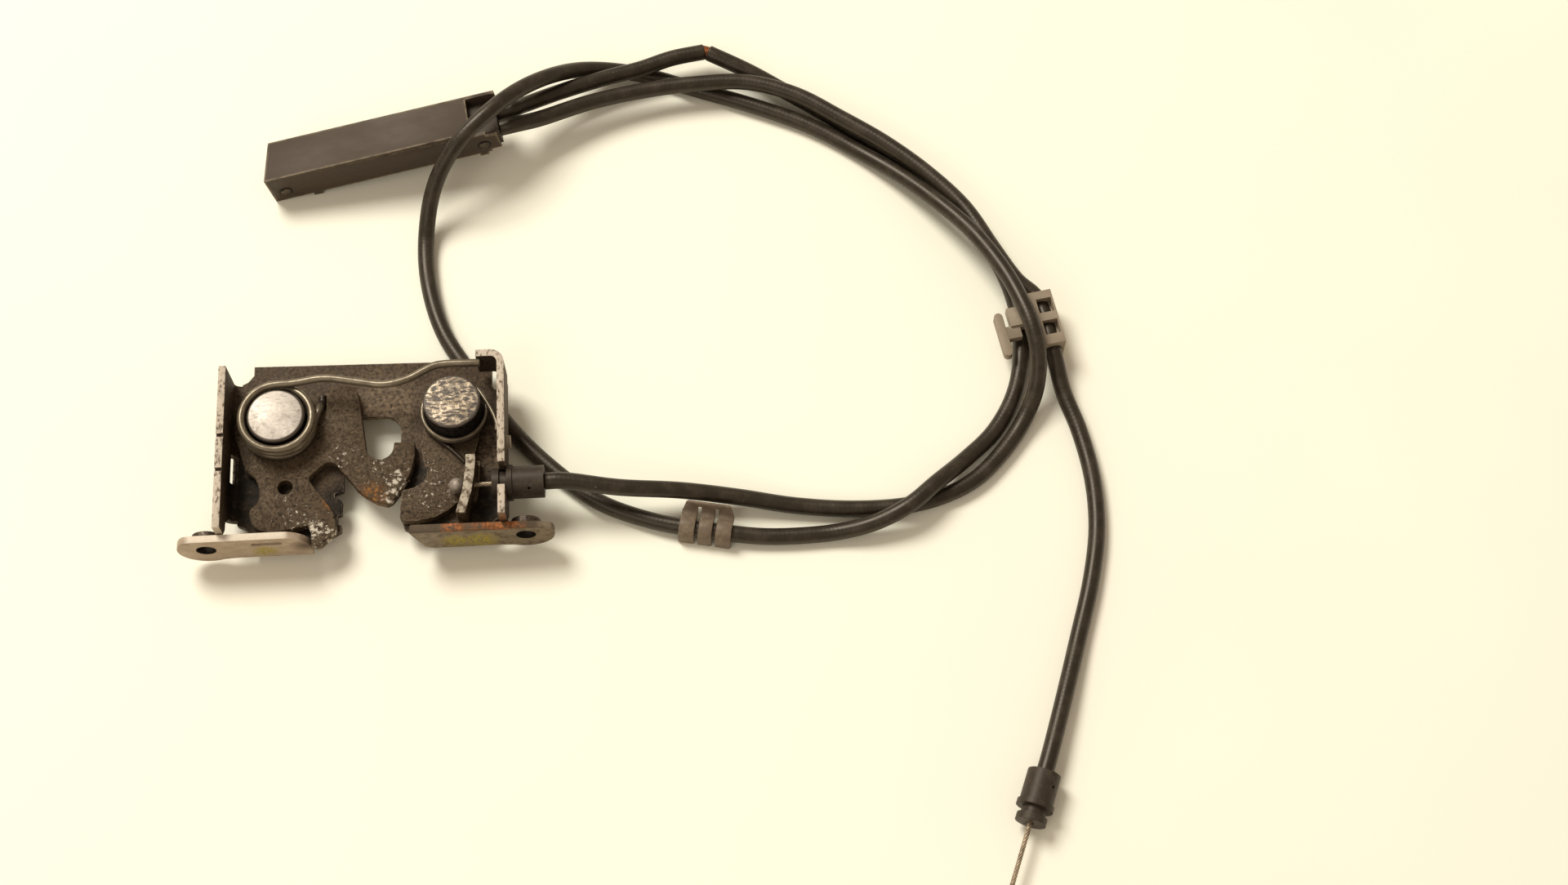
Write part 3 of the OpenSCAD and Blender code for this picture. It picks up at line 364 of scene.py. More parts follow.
def worn_lever_steel(colours):
    """Blanked steel levers, oiled and worn: dark brown grain, pale zinc bloom low on the catch, on its tine
    and on the pawl, orange rust at the tine's lower edge, and a rubbed bright top on the pawl's arm."""
    material, tree, shader, place = start_finish("worn_lever_steel")
    film = mottle(tree, place, 4.0, 0.35, 0.7)
    grain = mottle(tree, place, 0.9, 0.4, 0.66, detail=8.0, shift=3)
    pits = mottle(tree, place, 1.5, 0.58, 0.66, shift=8)
    thick = zones(tree, place, [((-14.5, 4, 0), 4, 6), ((11, 22, 0), 3, 6), ((8.5, 17, 0), 2, 4)])
    thin = zones(tree, place, [((-9, 34, 0), 3, 7), ((-30, 18.5, 0), 1.5, 3), ((18.5, 28, 0), 4, 5),
                               ((24, 17, 0), 6, 8), ((-24, 9, 0), 4, 8), ((3, 28, 0), 4, 8),
                               ((20, 20, 0), 3, 5)])
    patchy = both(tree, thick, mottle(tree, place, 4.0, 0.2, 0.55, shift=9))
    # The edges are lighter partly from wear and partly as a painted highlight.
    edges = both(tree, edge_wear(tree, 0.9), mottle(tree, place, 2.0, 0.42, 0.6, shift=15))
    white = both(tree, bloom(tree, place, 2.0, patchy, 0.67, 0.2, 5),
                 bloom(tree, place, 1.4, thin, 0.7, 0.13, 11), how="MAXIMUM")
    rust_zone = zones(tree, place, [((1.5, 17, 0), 2.4, 4.5), ((-13, 15.5, 0), 0.8, 2.5)])
    rust = both(tree, rust_zone, mottle(tree, place, 1.7, 0.42, 0.58, shift=6))
    ochre = both(tree, rust, mottle(tree, place, 1.0, 0.5, 0.6, shift=21))
    arm = along(tree, place, 2, ARM_TOP - 0.6, ARM_TOP - 0.3)
    rubbed = both(tree, arm, mottle(tree, place, 1.8, 0.4, 0.54, detail=8.0, shift=2))
    colour = layered(
        tree, tuple(colours.lever),
        (hex_linear("#5f4e3a"), film), (hex_linear("#32271a"), grain), (hex_linear("#1c150d"), pits),
        (hex_linear("#9a8a70"), edges),
        (hex_linear("#6e4524"), rust), (hex_linear("#9a7036"), ochre), (hex_linear("#c6bba8"), white),
        (hex_linear("#5c4e3e"), arm), (hex_linear("#b0a490"), rubbed))
    tree.links.new(colour, shader.inputs["Base Color"])
    shader.inputs["Metallic"].default_value = 0.1
    shader.inputs["Specular IOR Level"].default_value = 0.25
    shader.inputs["Specular Tint"].default_value = WARM
    tree.links.new(rough_between(tree, grain, 0.55, 0.7), shader.inputs["Roughness"])
    under = relief(tree, shader, grain, 0.1, 0.6)
    relief(tree, shader, white, 0.12, 0.6, under)
    return material


def rivet_steel(name, centre, top, bright, pits_from, streaks):
    """Turned rivet: a rubbed head with fine scratches, its top lit further by a painted reflection and its
    chamfered edge greyed by painted shade, its sides painted dark as shade over old greasing. The pawl's
    head is streaked and pitted."""
    material, tree, shader, place = start_finish(name)
    # The top of the head takes the bright colour, partly rubbed steel and partly a painted reflection; below
    # it the sides stay dark as painted shade over old greasing.
    head = along(tree, place, 2, top - 0.8, top - 0.5)
    strokes = mottle(tree, place, 2.4, 0.48, 0.6, detail=10.0, stretch=(0.7, 1.2, 1), shift=centre[0])
    hairs = mottle(tree, place, 1.6, 0.65, 0.69, detail=3.0, stretch=(2.4, 0.16, 1), shift=centre[1])
    cloud = mottle(tree, place, 6.0, 0.35, 0.7, shift=2)
    pits = mottle(tree, place, 1.3, pits_from, pits_from + 0.12, detail=10.0, stretch=(1.7, 0.7, 1),
                  shift=6)
    # A grey ring on the chamfered edge of the head is painted shade.
    ring = add(tree, "ShaderNodeVectorMath", {0: place, 1: (*centre, top)}, operation="DISTANCE")
    rim_shade = add(tree, "ShaderNodeMapRange", {"Value": ring.outputs["Value"], "From Min": HEAD_RIM_SHADE[0],
                                           "From Max": HEAD_RIM_SHADE[1]}).outputs[0]
    colour = layered(
        tree, hex_linear("#1f1913"),
        (hex_linear(bright), head), (hex_linear("#6a6156"), both(tree, head, cloud)),
        (hex_linear(streaks), both(tree, head, strokes)), (hex_linear("#4a3f33"), both(tree, head, hairs)),
        (hex_linear("#33291f"), both(tree, head, pits)), (hex_linear("#5b5248"), both(tree, head, rim_shade)))
    tree.links.new(colour, shader.inputs["Base Color"])
    tree.links.new(rough_between(tree, head, 0.7, 0.45), shader.inputs["Roughness"])
    tree.links.new(rough_between(tree, pits, 0.75, 0.2), shader.inputs["Metallic"])
    relief(tree, shader, both(tree, hairs, pits, how="MAXIMUM"), -0.08, 0.5)
    return material


def spring_wire_steel():
    """Drawn spring wire, oil-tempered: bright with a straw cast, brown and darker towards the bottom of the
    lower turns.
    """
    material, tree, shader, place = start_finish("spring_wire_steel")
    streak = mottle(tree, place, 2.0, 0.45, 0.72, stretch=(2.5, 2.5, 0.8))
    # Darker brown towards the bottom of the spring.
    low = along(tree, place, 2, 4.4, 2.0)
    dark_patches = both(tree, low, mottle(tree, place, 1.4, 0.1, 0.45, shift=4))
    colour = layered(tree, hex_linear("#7d715c"), (hex_linear("#5a4d3c"), streak),
                     (hex_linear("#33291d"), dark_patches))
    tree.links.new(colour, shader.inputs["Base Color"])
    shader.inputs["Metallic"].default_value = 0.5
    tree.links.new(rough_between(tree, streak, 0.3, 0.45), shader.inputs["Roughness"])
    relief(tree, shader, streak, 0.04, 0.4)
    return material


def extruded_sheath(colours):
    """Extruded vinyl cable sheath: satin brown-black, a faint print of the wound liner, scuffs and dust."""
    material, tree, shader, place = start_finish("extruded_sheath")
    dust = mottle(tree, place, 6.0, 0.45, 0.8)
    scuff = mottle(tree, place, 1.2, 0.67, 0.74, shift=5)
    length = add(tree, "ShaderNodeUVMap", uv_map="along_wire").outputs[0]
    turn_mm = 1.6
    # bands repeat every 2 pi / 20 of the coordinate at a scale of 1
    winding = add(tree, "ShaderNodeTexWave", {"Vector": length, "Scale": 2 * math.pi / 20 / (turn_mm * MM)},
                  wave_type="BANDS", bands_direction="Y").outputs["Fac"]
    colour = layered(tree, tuple(colours.sheath), (hex_linear("#3e352a"), dust),
                     (hex_linear("#6f6456"), scuff))
    tree.links.new(colour, shader.inputs["Base Color"])
    shader.inputs["Specular IOR Level"].default_value = 0.42
    shader.inputs["Specular Tint"].default_value = WARM
    tree.links.new(rough_between(tree, dust, 0.36, 0.5), shader.inputs["Roughness"])
    under = relief(tree, shader, winding, 0.04, 0.3)
    relief(tree, shader, scuff, 0.05, 0.4, under)
    return material


def moulded_nylon(name, tone, dust_tone, low, high):
    """Injection-moulded nylon: even colour, soft satin gloss, a little bench dust."""
    material, tree, shader, place = start_finish(name)
    dust = mottle(tree, place, 2.5, 0.48, 0.75)
    fine = mottle(tree, place, 0.5, 0.35, 0.7, shift=3)
    mark = mottle(tree, place, 0.9, 0.68, 0.74, shift=9)
    colour = layered(tree, tone, (dust_tone, dust), (hex_linear("#a89a86"), both(tree, mark, dust)))
    tree.links.new(colour, shader.inputs["Base Color"])
    shader.inputs["Specular IOR Level"].default_value = 0.3
    shader.inputs["Specular Tint"].default_value = WARM
    tree.links.new(rough_between(tree, dust, low, high), shader.inputs["Roughness"])
    relief(tree, shader, fine, 0.03, 0.4)
    return material


def black_channel_paint(colours):
    """Matt black paint on folded sheet, gone brown: dusty, with pale specks, rubbed folds lightened further
    by a painted highlight, and black dirt round the cross pins."""
    material, tree, shader, place = start_finish("black_channel_paint")
    dust = mottle(tree, place, 9.0, 0.4, 0.75, stretch=(2.5, 1, 1))
    fine = mottle(tree, place, 0.6, 0.3, 0.7, detail=3.0, shift=6)
    speck = mottle(tree, place, 0.8, 0.71, 0.75, shift=4)
    # The folds are lighter partly from rubbed paint and partly as a painted highlight along the edges.
    folds = both(tree, edge_wear(tree, 1.7), mottle(tree, place, 5.0, 0.33, 0.55, shift=13))
    rings = []
    for x in (5.5, CHANNEL_END - 7):
        pin = junction_point(x, 0.0, CABLE_UP - 1.5)
        rings.append(near(tree, place, (pin[0], pin[1], pin[2] + BENCH_Z), 2.5, 0.4))
    colour = layered(
        tree, tuple(colours.channel), (hex_linear("#483c30"), dust), (hex_linear("#97886f"), folds),
        (hex_linear("#7b6d5a"), speck), (hex_linear("#120e0a"), both(tree, *rings, how="MAXIMUM")))
    tree.links.new(colour, shader.inputs["Base Color"])
    shader.inputs["Specular IOR Level"].default_value = 0.25
    shader.inputs["Specular Tint"].default_value = WARM
    tree.links.new(rough_between(tree, dust, 0.45, 0.6), shader.inputs["Roughness"])
    relief(tree, shader, fine, 0.03, 0.4)
    return material


def stranded_wire_steel():
    """Galvanised stranded wire: pale strands with brown between them."""
    material, tree, shader, place = start_finish("stranded_wire_steel")
    tarnish = mottle(tree, place, 1.8, 0.48, 0.75)
    colour = layered(tree, hex_linear("#b5a388"), (hex_linear("#5a4733"), tarnish))
    tree.links.new(colour, shader.inputs["Base Color"])
    shader.inputs["Metallic"].default_value = 0.6
    tree.links.new(rough_between(tree, tarnish, 0.3, 0.5), shader.inputs["Roughness"])
    return material


def cast_zinc():
    """Die-cast zinc nipple: pale dull grey with a little dirt."""
    material, tree, shader, place = start_finish("cast_zinc")
    dark_patches = mottle(tree, place, 1.2, 0.45, 0.7)
    colour = layered(tree, hex_linear("#9c8f80"), (hex_linear("#6d6153"), dark_patches))
    tree.links.new(colour, shader.inputs["Base Color"])
    shader.inputs["Metallic"].default_value = 0.4
    shader.inputs["Roughness"].default_value = 0.5
    return material


def rusted_liner():
    """Wound steel liner, bare and rusted where the sheath has split."""
    material, tree, shader, place = start_finish("rusted_liner")
    deep = mottle(tree, place, 0.9, 0.4, 0.6)
    colour = layered(tree, hex_linear("#a5622c"), (hex_linear("#5a3018"), deep))
    tree.links.new(colour, shader.inputs["Base Color"])
    shader.inputs["Roughness"].default_value = 0.8
    relief(tree, shader, deep, 0.1, 0.6)
    return material


def dull_pin_steel():
    """Cold-headed pins and nuts: dull dark steel with a brown film."""
    material, tree, shader, place = start_finish("dull_pin_steel")
    film = mottle(tree, place, 1.4, 0.4, 0.65)
    colour = layered(tree, hex_linear("#5b4e40"), (hex_linear("#32281e"), film))
    tree.links.new(colour, shader.inputs["Base Color"])
    shader.inputs["Metallic"].default_value = 0.6
    tree.links.new(rough_between(tree, film, 0.4, 0.6), shader.inputs["Roughness"])
    return material


def link_piece(name, mesh, material):
    """A new piece with one material, in the scene."""
    piece = bpy.data.objects.new(name, mesh)
    bpy.context.scene.collection.objects.link(piece)
    mesh.materials.clear()
    mesh.materials.append(material)
    return piece


def settle(piece, sharp=35):
    """Turn a piece's modifiers into plain mesh, smooth except at sharp edges."""
    graph = bpy.context.evaluated_depsgraph_get()
    graph.update()
    mesh = bpy.data.meshes.new_from_object(piece.evaluated_get(graph), preserve_all_data_layers=True,
                                           depsgraph=graph)
    piece.modifiers.clear()
    piece.data = mesh
    mesh.shade_smooth()
    mesh.set_sharp_from_angle(angle=math.radians(sharp))
    return piece


def rounded_copy(node, name, material, width, segments=2, limit=40):
    """A copy of a CAD node with its edges rounded, as tumbling, plating or a mould leaves them."""
    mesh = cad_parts[node].data.copy()
    work = bmesh.new()
    work.from_mesh(mesh)
    bmesh.ops.remove_doubles(work, verts=work.verts, dist=2e-6)
    bmesh.ops.dissolve_limit(work, angle_limit=math.radians(0.8), verts=work.verts, edges=work.edges)
    work.to_mesh(mesh)
    work.free()
    piece = link_piece(name, mesh, material)
    edge = piece.modifiers.new("rounded_edges", "BEVEL")
    edge.width = width
    edge.segments = segments
    edge.limit_method = "ANGLE"
    edge.angle_limit = math.radians(limit)
    edge.use_clamp_overlap = True
    flat = piece.modifiers.new("flat_faces", "WEIGHTED_NORMAL")
    flat.keep_sharp = True
    return settle(piece, sharp=60)


def dress(piece, body, slot, *nodes):
    """Put a piece on its body in place of its CAD nodes; the slot is not used."""
    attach(piece, body)
    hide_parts(*nodes)
    return piece


def finish_node(node, material):
    """Give a CAD node that stays its finish."""
    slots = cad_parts[node].data.materials
    slots.clear()
    slots.append(material)


def flowing(points, steps):
    """A smooth path through points, with steps spans between each two."""
    spots = [Vector(p) for p in points]
    ends = [2 * spots[0] - spots[1]] + spots + [2 * spots[-1] - spots[-2]]
    path = []
    for a, b, c, d in zip(ends, ends[1:], ends[2:], ends[3:]):
        knots = [0.0]
        for p, q in ((a, b), (b, c), (c, d)):
            knots.append(knots[-1] + max((q - p).length, 1e-9) ** 0.5)
        t0, t1, t2, t3 = knots
        for step in range(steps):
            t = t1 + (t2 - t1) * step / steps
            ab = a.lerp(b, (t - t0) / (t1 - t0))
            bc = b.lerp(c, (t - t1) / (t2 - t1))
            cd = c.lerp(d, (t - t2) / (t3 - t2))
            early = ab.lerp(bc, (t - t0) / (t2 - t0))
            late = bc.lerp(cd, (t - t1) / (t3 - t1))
            path.append(early.lerp(late, (t - t1) / (t2 - t1)))
    return path + [spots[-1]]


def sheath_path(route, radius):
    """The smooth middle line of a sheath along a route, kept on top of the bench."""
    path = flowing([on_bench(p) for p in route], 6)
    return [Vector((p.x, p.y, max(p.z, BENCH_Z * MM + radius))) for p in path]


def wire_mesh(name, path, radius, sides, material, end_round):
    """A round rod along a path, with a UV map that runs round and along it in metres."""
    work = bmesh.new()
    uv = work.loops.layers.uv.new("along_wire")
    heading = (path[1] - path[0]).normalized()
    side = heading.orthogonal().normalized()
    rings, lengths = [], [0.0]
    for i, point in enumerate(path):
        ahead = (path[min(i + 1, len(path) - 1)] - path[max(i - 1, 0)]).normalized()
        bend = heading.angle(ahead)
        if bend > 1e-6:
            side = Quaternion(heading.cross(ahead), bend) @ side
        heading = ahead
        across = heading.cross(side)
        rings.append([work.verts.new(point + radius * (math.cos(a) * side + math.sin(a) * across))
                      for a in (2 * math.pi * k / sides for k in range(sides))])
        if i:
            lengths.append(lengths[-1] + (point - path[i - 1]).length)
    girth = 2 * math.pi * radius
    for i in range(len(rings) - 1):
        for k in range(sides):
            beside = (k + 1) % sides
            face = work.faces.new((rings[i][k], rings[i][beside], rings[i + 1][beside], rings[i + 1][k]))
            corners = ((k, i), (k + 1, i), (k + 1, i + 1), (k, i + 1))
            for loop, (around, ahead_i) in zip(face.loops, corners):
                loop[uv].uv = (girth * around / sides, lengths[ahead_i])
    work.faces.new(list(reversed(rings[0])))
    work.faces.new(rings[-1])
    mesh = bpy.data.meshes.new(name)
    work.to_mesh(mesh)
    work.free()
    piece = link_piece(name, mesh, material)
    edge = piece.modifiers.new("rounded_ends", "BEVEL")
    edge.width = radius * end_round
    edge.segments = 3
    edge.limit_method = "ANGLE"
    edge.angle_limit = math.radians(50)
    return settle(piece, sharp=50)


def strand_tree(material):
    """Geometry nodes that twist strands round a core along a straight line."""
    tree = bpy.data.node_groups.new("twisted_strands", "GeometryNodeTree")
    tree.interface.new_socket("Geometry", in_out="INPUT", socket_type="NodeSocketGeometry")
    ids = {}
    for label, kind in (("Strands", "NodeSocketInt"), ("Wire radius", "NodeSocketFloat"),
                        ("Turns", "NodeSocketFloat"), ("Samples", "NodeSocketInt")):
        ids[label] = tree.interface.new_socket(label, in_out="INPUT", socket_type=kind).identifier
    tree.interface.new_socket("Geometry", in_out="OUTPUT", socket_type="NodeSocketGeometry")
    given = add(tree, "NodeGroupInput").outputs
    line = add(tree, "GeometryNodeMeshToCurve", {0: given["Geometry"]}).outputs[0]
    fine = add(tree, "GeometryNodeResampleCurve", {"Curve": line, "Count": given["Samples"]}).outputs[0]
    share = add(tree, "GeometryNodeSplineParameter").outputs["Factor"]
    turn = add(tree, "ShaderNodeMath", {0: share, 1: given["Turns"]}, operation="MULTIPLY").outputs[0]
    angle = add(tree, "ShaderNodeMath", {0: turn, 1: 2 * math.pi}, operation="MULTIPLY").outputs[0]
    twisted = add(tree, "GeometryNodeSetCurveTilt", {"Curve": fine, "Tilt": angle}).outputs[0]
    # six strands round a core of the same size fill the wire, so each is a third of its radius
    thin = add(tree, "ShaderNodeMath", {0: given["Wire radius"], 1: 1 / 3}, operation="MULTIPLY").outputs[0]
    pitch = add(tree, "ShaderNodeMath", {0: thin, 1: 2.0}, operation="MULTIPLY").outputs[0]
    seats = add(tree, "GeometryNodeCurvePrimitiveCircle",
                {"Resolution": given["Strands"], "Radius": pitch}).outputs[0]
    strand = add(tree, "GeometryNodeCurvePrimitiveCircle", {"Resolution": 8, "Radius": thin}).outputs[0]
    round_core = add(tree, "GeometryNodeInstanceOnPoints", {"Points": seats, "Instance": strand}).outputs[0]
    profile = add(tree, "GeometryNodeJoinGeometry")
    for part in (add(tree, "GeometryNodeRealizeInstances", {0: round_core}).outputs[0], strand):
        tree.links.new(part, profile.inputs[0])
    swept = add(tree, "GeometryNodeCurveToMesh",
                {"Curve": twisted, "Profile Curve": profile.outputs[0], "Fill Caps": True})
    plain = add(tree, "GeometryNodeRealizeInstances", {0: swept.outputs[0]}).outputs[0]
    coated = add(tree, "GeometryNodeSetMaterial", {"Geometry": plain, "Material": material}).outputs[0]
    add(tree, "NodeGroupOutput", {0: coated})
    return tree, ids


def liner_tree(material):
    """Geometry nodes that wind a wire into a liner about the Z axis."""
    tree = bpy.data.node_groups.new("wound_liner", "GeometryNodeTree")
    tree.interface.new_socket("Geometry", in_out="INPUT", socket_type="NodeSocketGeometry")
    ids = {}
    for label in ("Radius", "Length", "Turns", "Wire"):
        socket = tree.interface.new_socket(label, in_out="INPUT", socket_type="NodeSocketFloat")
        ids[label] = socket.identifier
    tree.interface.new_socket("Geometry", in_out="OUTPUT", socket_type="NodeSocketGeometry")
    given = add(tree, "NodeGroupInput").outputs
    coil = add(tree, "GeometryNodeCurveSpiral",
               {"Resolution": 20, "Rotations": given["Turns"], "Start Radius": given["Radius"],
                "End Radius": given["Radius"], "Height": given["Length"]}).outputs[0]
    section = add(tree, "GeometryNodeCurvePrimitiveCircle",
                  {"Resolution": 8, "Radius": given["Wire"]}).outputs[0]
    swept = add(tree, "GeometryNodeCurveToMesh",
                {"Curve": coil, "Profile Curve": section, "Fill Caps": True}).outputs[0]
    plain = add(tree, "GeometryNodeRealizeInstances", {0: swept}).outputs[0]
    coated = add(tree, "GeometryNodeSetMaterial", {"Geometry": plain, "Material": material}).outputs[0]
    add(tree, "NodeGroupOutput", {0: coated})
    return tree, ids


def stranded(name, start, end, material, sizes):
    """A straight stranded wire between two points in the latch's frame."""
    mesh = bpy.data.meshes.new(name)
    mesh.from_pydata([start, end], [(0, 1)], [])
    piece = link_piece(name, mesh, material)
    tree, ids = strand_tree(material)
    twist = piece.modifiers.new("strands", "NODES")
    twist.node_group = tree
    length = (Vector(end) - Vector(start)).length
    for label, value in (("Strands", sizes.wire_strands), ("Wire radius", sizes.wire_d / 2),
                         ("Turns", length / sizes.wire_lay), ("Samples", int(length / 0.0004))):
        twist[ids[label]] = value
    return settle(piece, sharp=50)


FINISHES = {}


class LATCH_OT_stage(bpy.types.Operator):
    """Lay the bench, the lights and the camera"""
    bl_idname = "latch.stage"
    bl_label = "Stage"

    def execute(self, context):
        scene = context.scene
        scene.view_settings.view_transform = "Standard"
        material, tree, shader, place = start_finish("pale_bench_top")
        tone = mottle(tree, place, 160.0, 0.3, 0.75, detail=2.0)
        colour = layered(tree, tuple(scene.latch_colours.bench), (hex_linear("#faf3e0"), tone))
        tree.links.new(colour, shader.inputs["Base Color"])
        shader.inputs["Roughness"].default_value = 0.6
        shader.inputs["Specular IOR Level"].default_value = 0.2
        half = 3.0
        mesh = bpy.data.meshes.new("bench")
        level = BENCH_Z * MM
        corners = [(-half, -half, level), (half, -half, level), (half, half, level), (-half, half, level)]
        mesh.from_pydata(corners, [], [(0, 1, 2, 3)])
        link_piece("bench", mesh, material)

        camera = bpy.data.cameras.new("camera")
        camera.sensor_fit = "HORIZONTAL"
        camera.sensor_width = 36.0
        camera.lens = 56.25
        camera.clip_start = 0.01
        holder = bpy.data.objects.new("camera", camera)
        holder.location = (0.1280, -0.3222, 0.7926)
        holder.rotation_euler = (math.radians(24.0), 0.0, math.radians(-3.1))
        scene.collection.objects.link(holder)
        scene.camera = holder

        middle = Vector((0.1, 0.06, 0.0))
        for name, spot, size, watts in (("lamp_back", (-1.0, 1.35, 2.4), 1.3, 76.0),
                                        ("lamp_front", (-0.9, -1.3, 1.6), 1.2, 7.0)):
            light = bpy.data.lights.new(name, "AREA")
            light.shape = "DISK"
            light.size = size
            light.energy = watts
            light.color = (1.0, 0.985, 0.94)
            lamp = bpy.data.objects.new(name, light)
            lamp.location = spot
            lamp.rotation_euler = (middle - Vector(spot)).to_track_quat("-Z", "Y").to_euler()
            scene.collection.objects.link(lamp)
        world = bpy.data.worlds.new("soft_room")
        world.use_nodes = True
        sky = world.node_tree.nodes["Background"]
        sky.inputs["Color"].default_value = (1.0, 0.85, 0.71, 1.0)
        sky.inputs["Strength"].default_value = 0.45
        scene.world = world
        return {"FINISHED"}


class LATCH_OT_finishes(bpy.types.Operator):
    """Mix every finish of the latch"""
    bl_idname = "latch.finishes"
    bl_label = "Finishes"

    def execute(self, context):
        colours = context.scene.latch_colours
        FINISHES.update(
            sheet=dulled_plated_sheet(colours), lever=worn_lever_steel(colours),
            catch_rivet=rivet_steel("catch_rivet_steel", CATCH_AT, CATCH_HEAD, "#9d9387", 0.76, "#8a8176"),
            pawl_rivet=rivet_steel("pawl_rivet_steel", PAWL_AT, PAWL_HEAD, "#7b6c58", 0.47, "#b09f86"),
            spring=spring_wire_steel(), sheath=extruded_sheath(colours), wire=stranded_wire_steel(),
            liner=rusted_liner(), nipple=cast_zinc(), channel=black_channel_paint(colours),
            pin=dull_pin_steel())
        for key, name, tone, dust, low, high in (
                ("ferrule", "black_moulded_nylon", tuple(colours.fitting), "#493f34", 0.46, 0.62),
                ("finger_clip", "dark_grey_moulded_nylon", tuple(colours.finger), "#85745f", 0.45, 0.65),
                ("block_clip", "grey_moulded_nylon", tuple(colours.block), "#8f806c", 0.45, 0.65),
                ("pulley", "natural_moulded_nylon", hex_linear("#c9c2b2"), "#b5ad9c", 0.4, 0.55)):
            FINISHES[key] = moulded_nylon(name, tone, hex_linear(dust), low, high)
        return {"FINISHED"}


class LATCH_OT_cables(bpy.types.Operator):
    """Run the three lengths of cable sheath along the bench"""
    bl_idname = "latch.cables"
    bl_label = "Cables"

    def execute(self, context):
        radius = context.scene.latch_sizes.sheath_d / 2
        for name, route, node in (("latch_sheath", LATCH_ROUTE, "latch_cable"),
                                  ("junction_sheath", JUNCTION_ROUTE, "junction_cable"),
                                  ("release_sheath", RELEASE_ROUTE, "release_cable")):
            path = sheath_path(route, radius)
            piece = wire_mesh(name, path, radius, 20, FINISHES["sheath"], end_round=0.15)
            dress(piece, "root", "cable_sheath", node)
        return {"FINISHED"}


class LATCH_OT_plate(bpy.types.Operator):
    """Round the edges of the folded plate and finish its nuts and washers"""
    bl_idname = "latch.plate"
    bl_label = "Base plate"

    def execute(self, context):
        sizes = context.scene.latch_sizes
        plate = rounded_copy("base_plate", "folded_plate", FINISHES["sheet"], sizes.sheet_edge)
        dress(plate, "root", "plated_sheet", "base_plate")
        nuts = rounded_copy("weld_nuts", "welded_nuts", FINISHES["pin"], sizes.moulded_edge)
        dress(nuts, "root", "dark_steel", "weld_nuts")
        finish_node("pivot_washers", FINISHES["pin"])
        return {"FINISHED"}


class LATCH_OT_levers(bpy.types.Operator):
    """Round the stamped edges of the catch and the pawl"""
    bl_idname = "latch.levers"
    bl_label = "Catch and pawl"

    def execute(self, context):
        width = context.scene.latch_sizes.lever_edge
        for node, name, body in (("catch", "catch_lever", "catch_body"),
                                 ("pawl", "pawl_lever", "pawl_body")):
            dress(rounded_copy(node, name, FINISHES["lever"], width), body, "worn_steel", node)
        return {"FINISHED"}


class LATCH_OT_rivets(bpy.types.Operator):
    """Turn the two pivot rivets"""
    bl_idname = "latch.rivets"
    bl_label = "Pivot rivets"

    def execute(self, context):
        width = context.scene.latch_sizes.rivet_edge
        for node in ("catch_rivet", "pawl_rivet"):
            piece = rounded_copy(node, node + "_turned", FINISHES[node], width, segments=3)
            dress(piece, "root", "rivet_steel", node)
        return {"FINISHED"}


def coil_path(centre, radius, start, turn, low, pitch, step):
    """Points of a coil that rises clockwise, in bench millimetres."""
    count = round(turn / step)
    points = []
    for i in range(count + 1):
        swept = turn * i / count
        angle = math.radians(start - swept)
        points.append((centre[0] + radius * math.cos(angle), centre[1] + radius * math.sin(angle),
                       low + pitch * swept / 360))
    return points


class LATCH_OT_springs(bpy.types.Operator):
    """Wind the two torsion springs"""
    bl_idname = "latch.springs"
    bl_label = "Springs"

    def execute(self, context):
        low, pitch, turn = 15.4, 2.9, 990.0
        top = low + pitch * turn / 360
        lean = -16.7
        leg = [(lean, 58, 11.7), (lean, 55, 11.7), (lean - 0.3, 51.5, low)]
        reach = [(x + CATCH_AT[0], y + CATCH_AT[1], z + top) for x, y, z in
                 ((6, 12.5, 0), (14, 13.6, 0.2), (19, 13.5, 0.3), (29, 11.5, 0.5), (38, 9.9, 0.7),
                  (46.5, 11.5, 1), (53, 14.8, 1.2), (57, 16.3, 1.3), (72, 16.3, 1.4))]
        coil = coil_path(CATCH_AT, CATCH_COIL_R, 0, turn, low, pitch, step=18)
        path = flowing([on_bench(p) for p in leg + coil + reach], SPRING_SPANS)
        piece = wire_mesh("catch_torsion_spring", path, CATCH_WIRE_R * MM, 14, FINISHES["spring"],
                          SPRING_END)
        dress(piece, "root", "spring_wire", "catch_spring")

        low, pitch, turn = 14.25, 1.6, 926.0
        top = low + pitch * turn / 360
        leg = [(34.45, 28.2, low), (29.4, 33.6, low)]
        reach = [(45.95, 41.5, top), (45.95, 38, top)]
        coil = coil_path(PAWL_AT, PAWL_COIL_R, 229.5, turn, low, pitch, step=24)
        path = flowing([on_bench(p) for p in leg + coil + reach], SPRING_SPANS)
        piece = wire_mesh("pawl_torsion_spring", path, PAWL_WIRE_R * MM, 12, FINISHES["spring"],
                          SPRING_END)
        dress(piece, "root", "spring_wire", "pawl_spring")
        return {"FINISHED"}


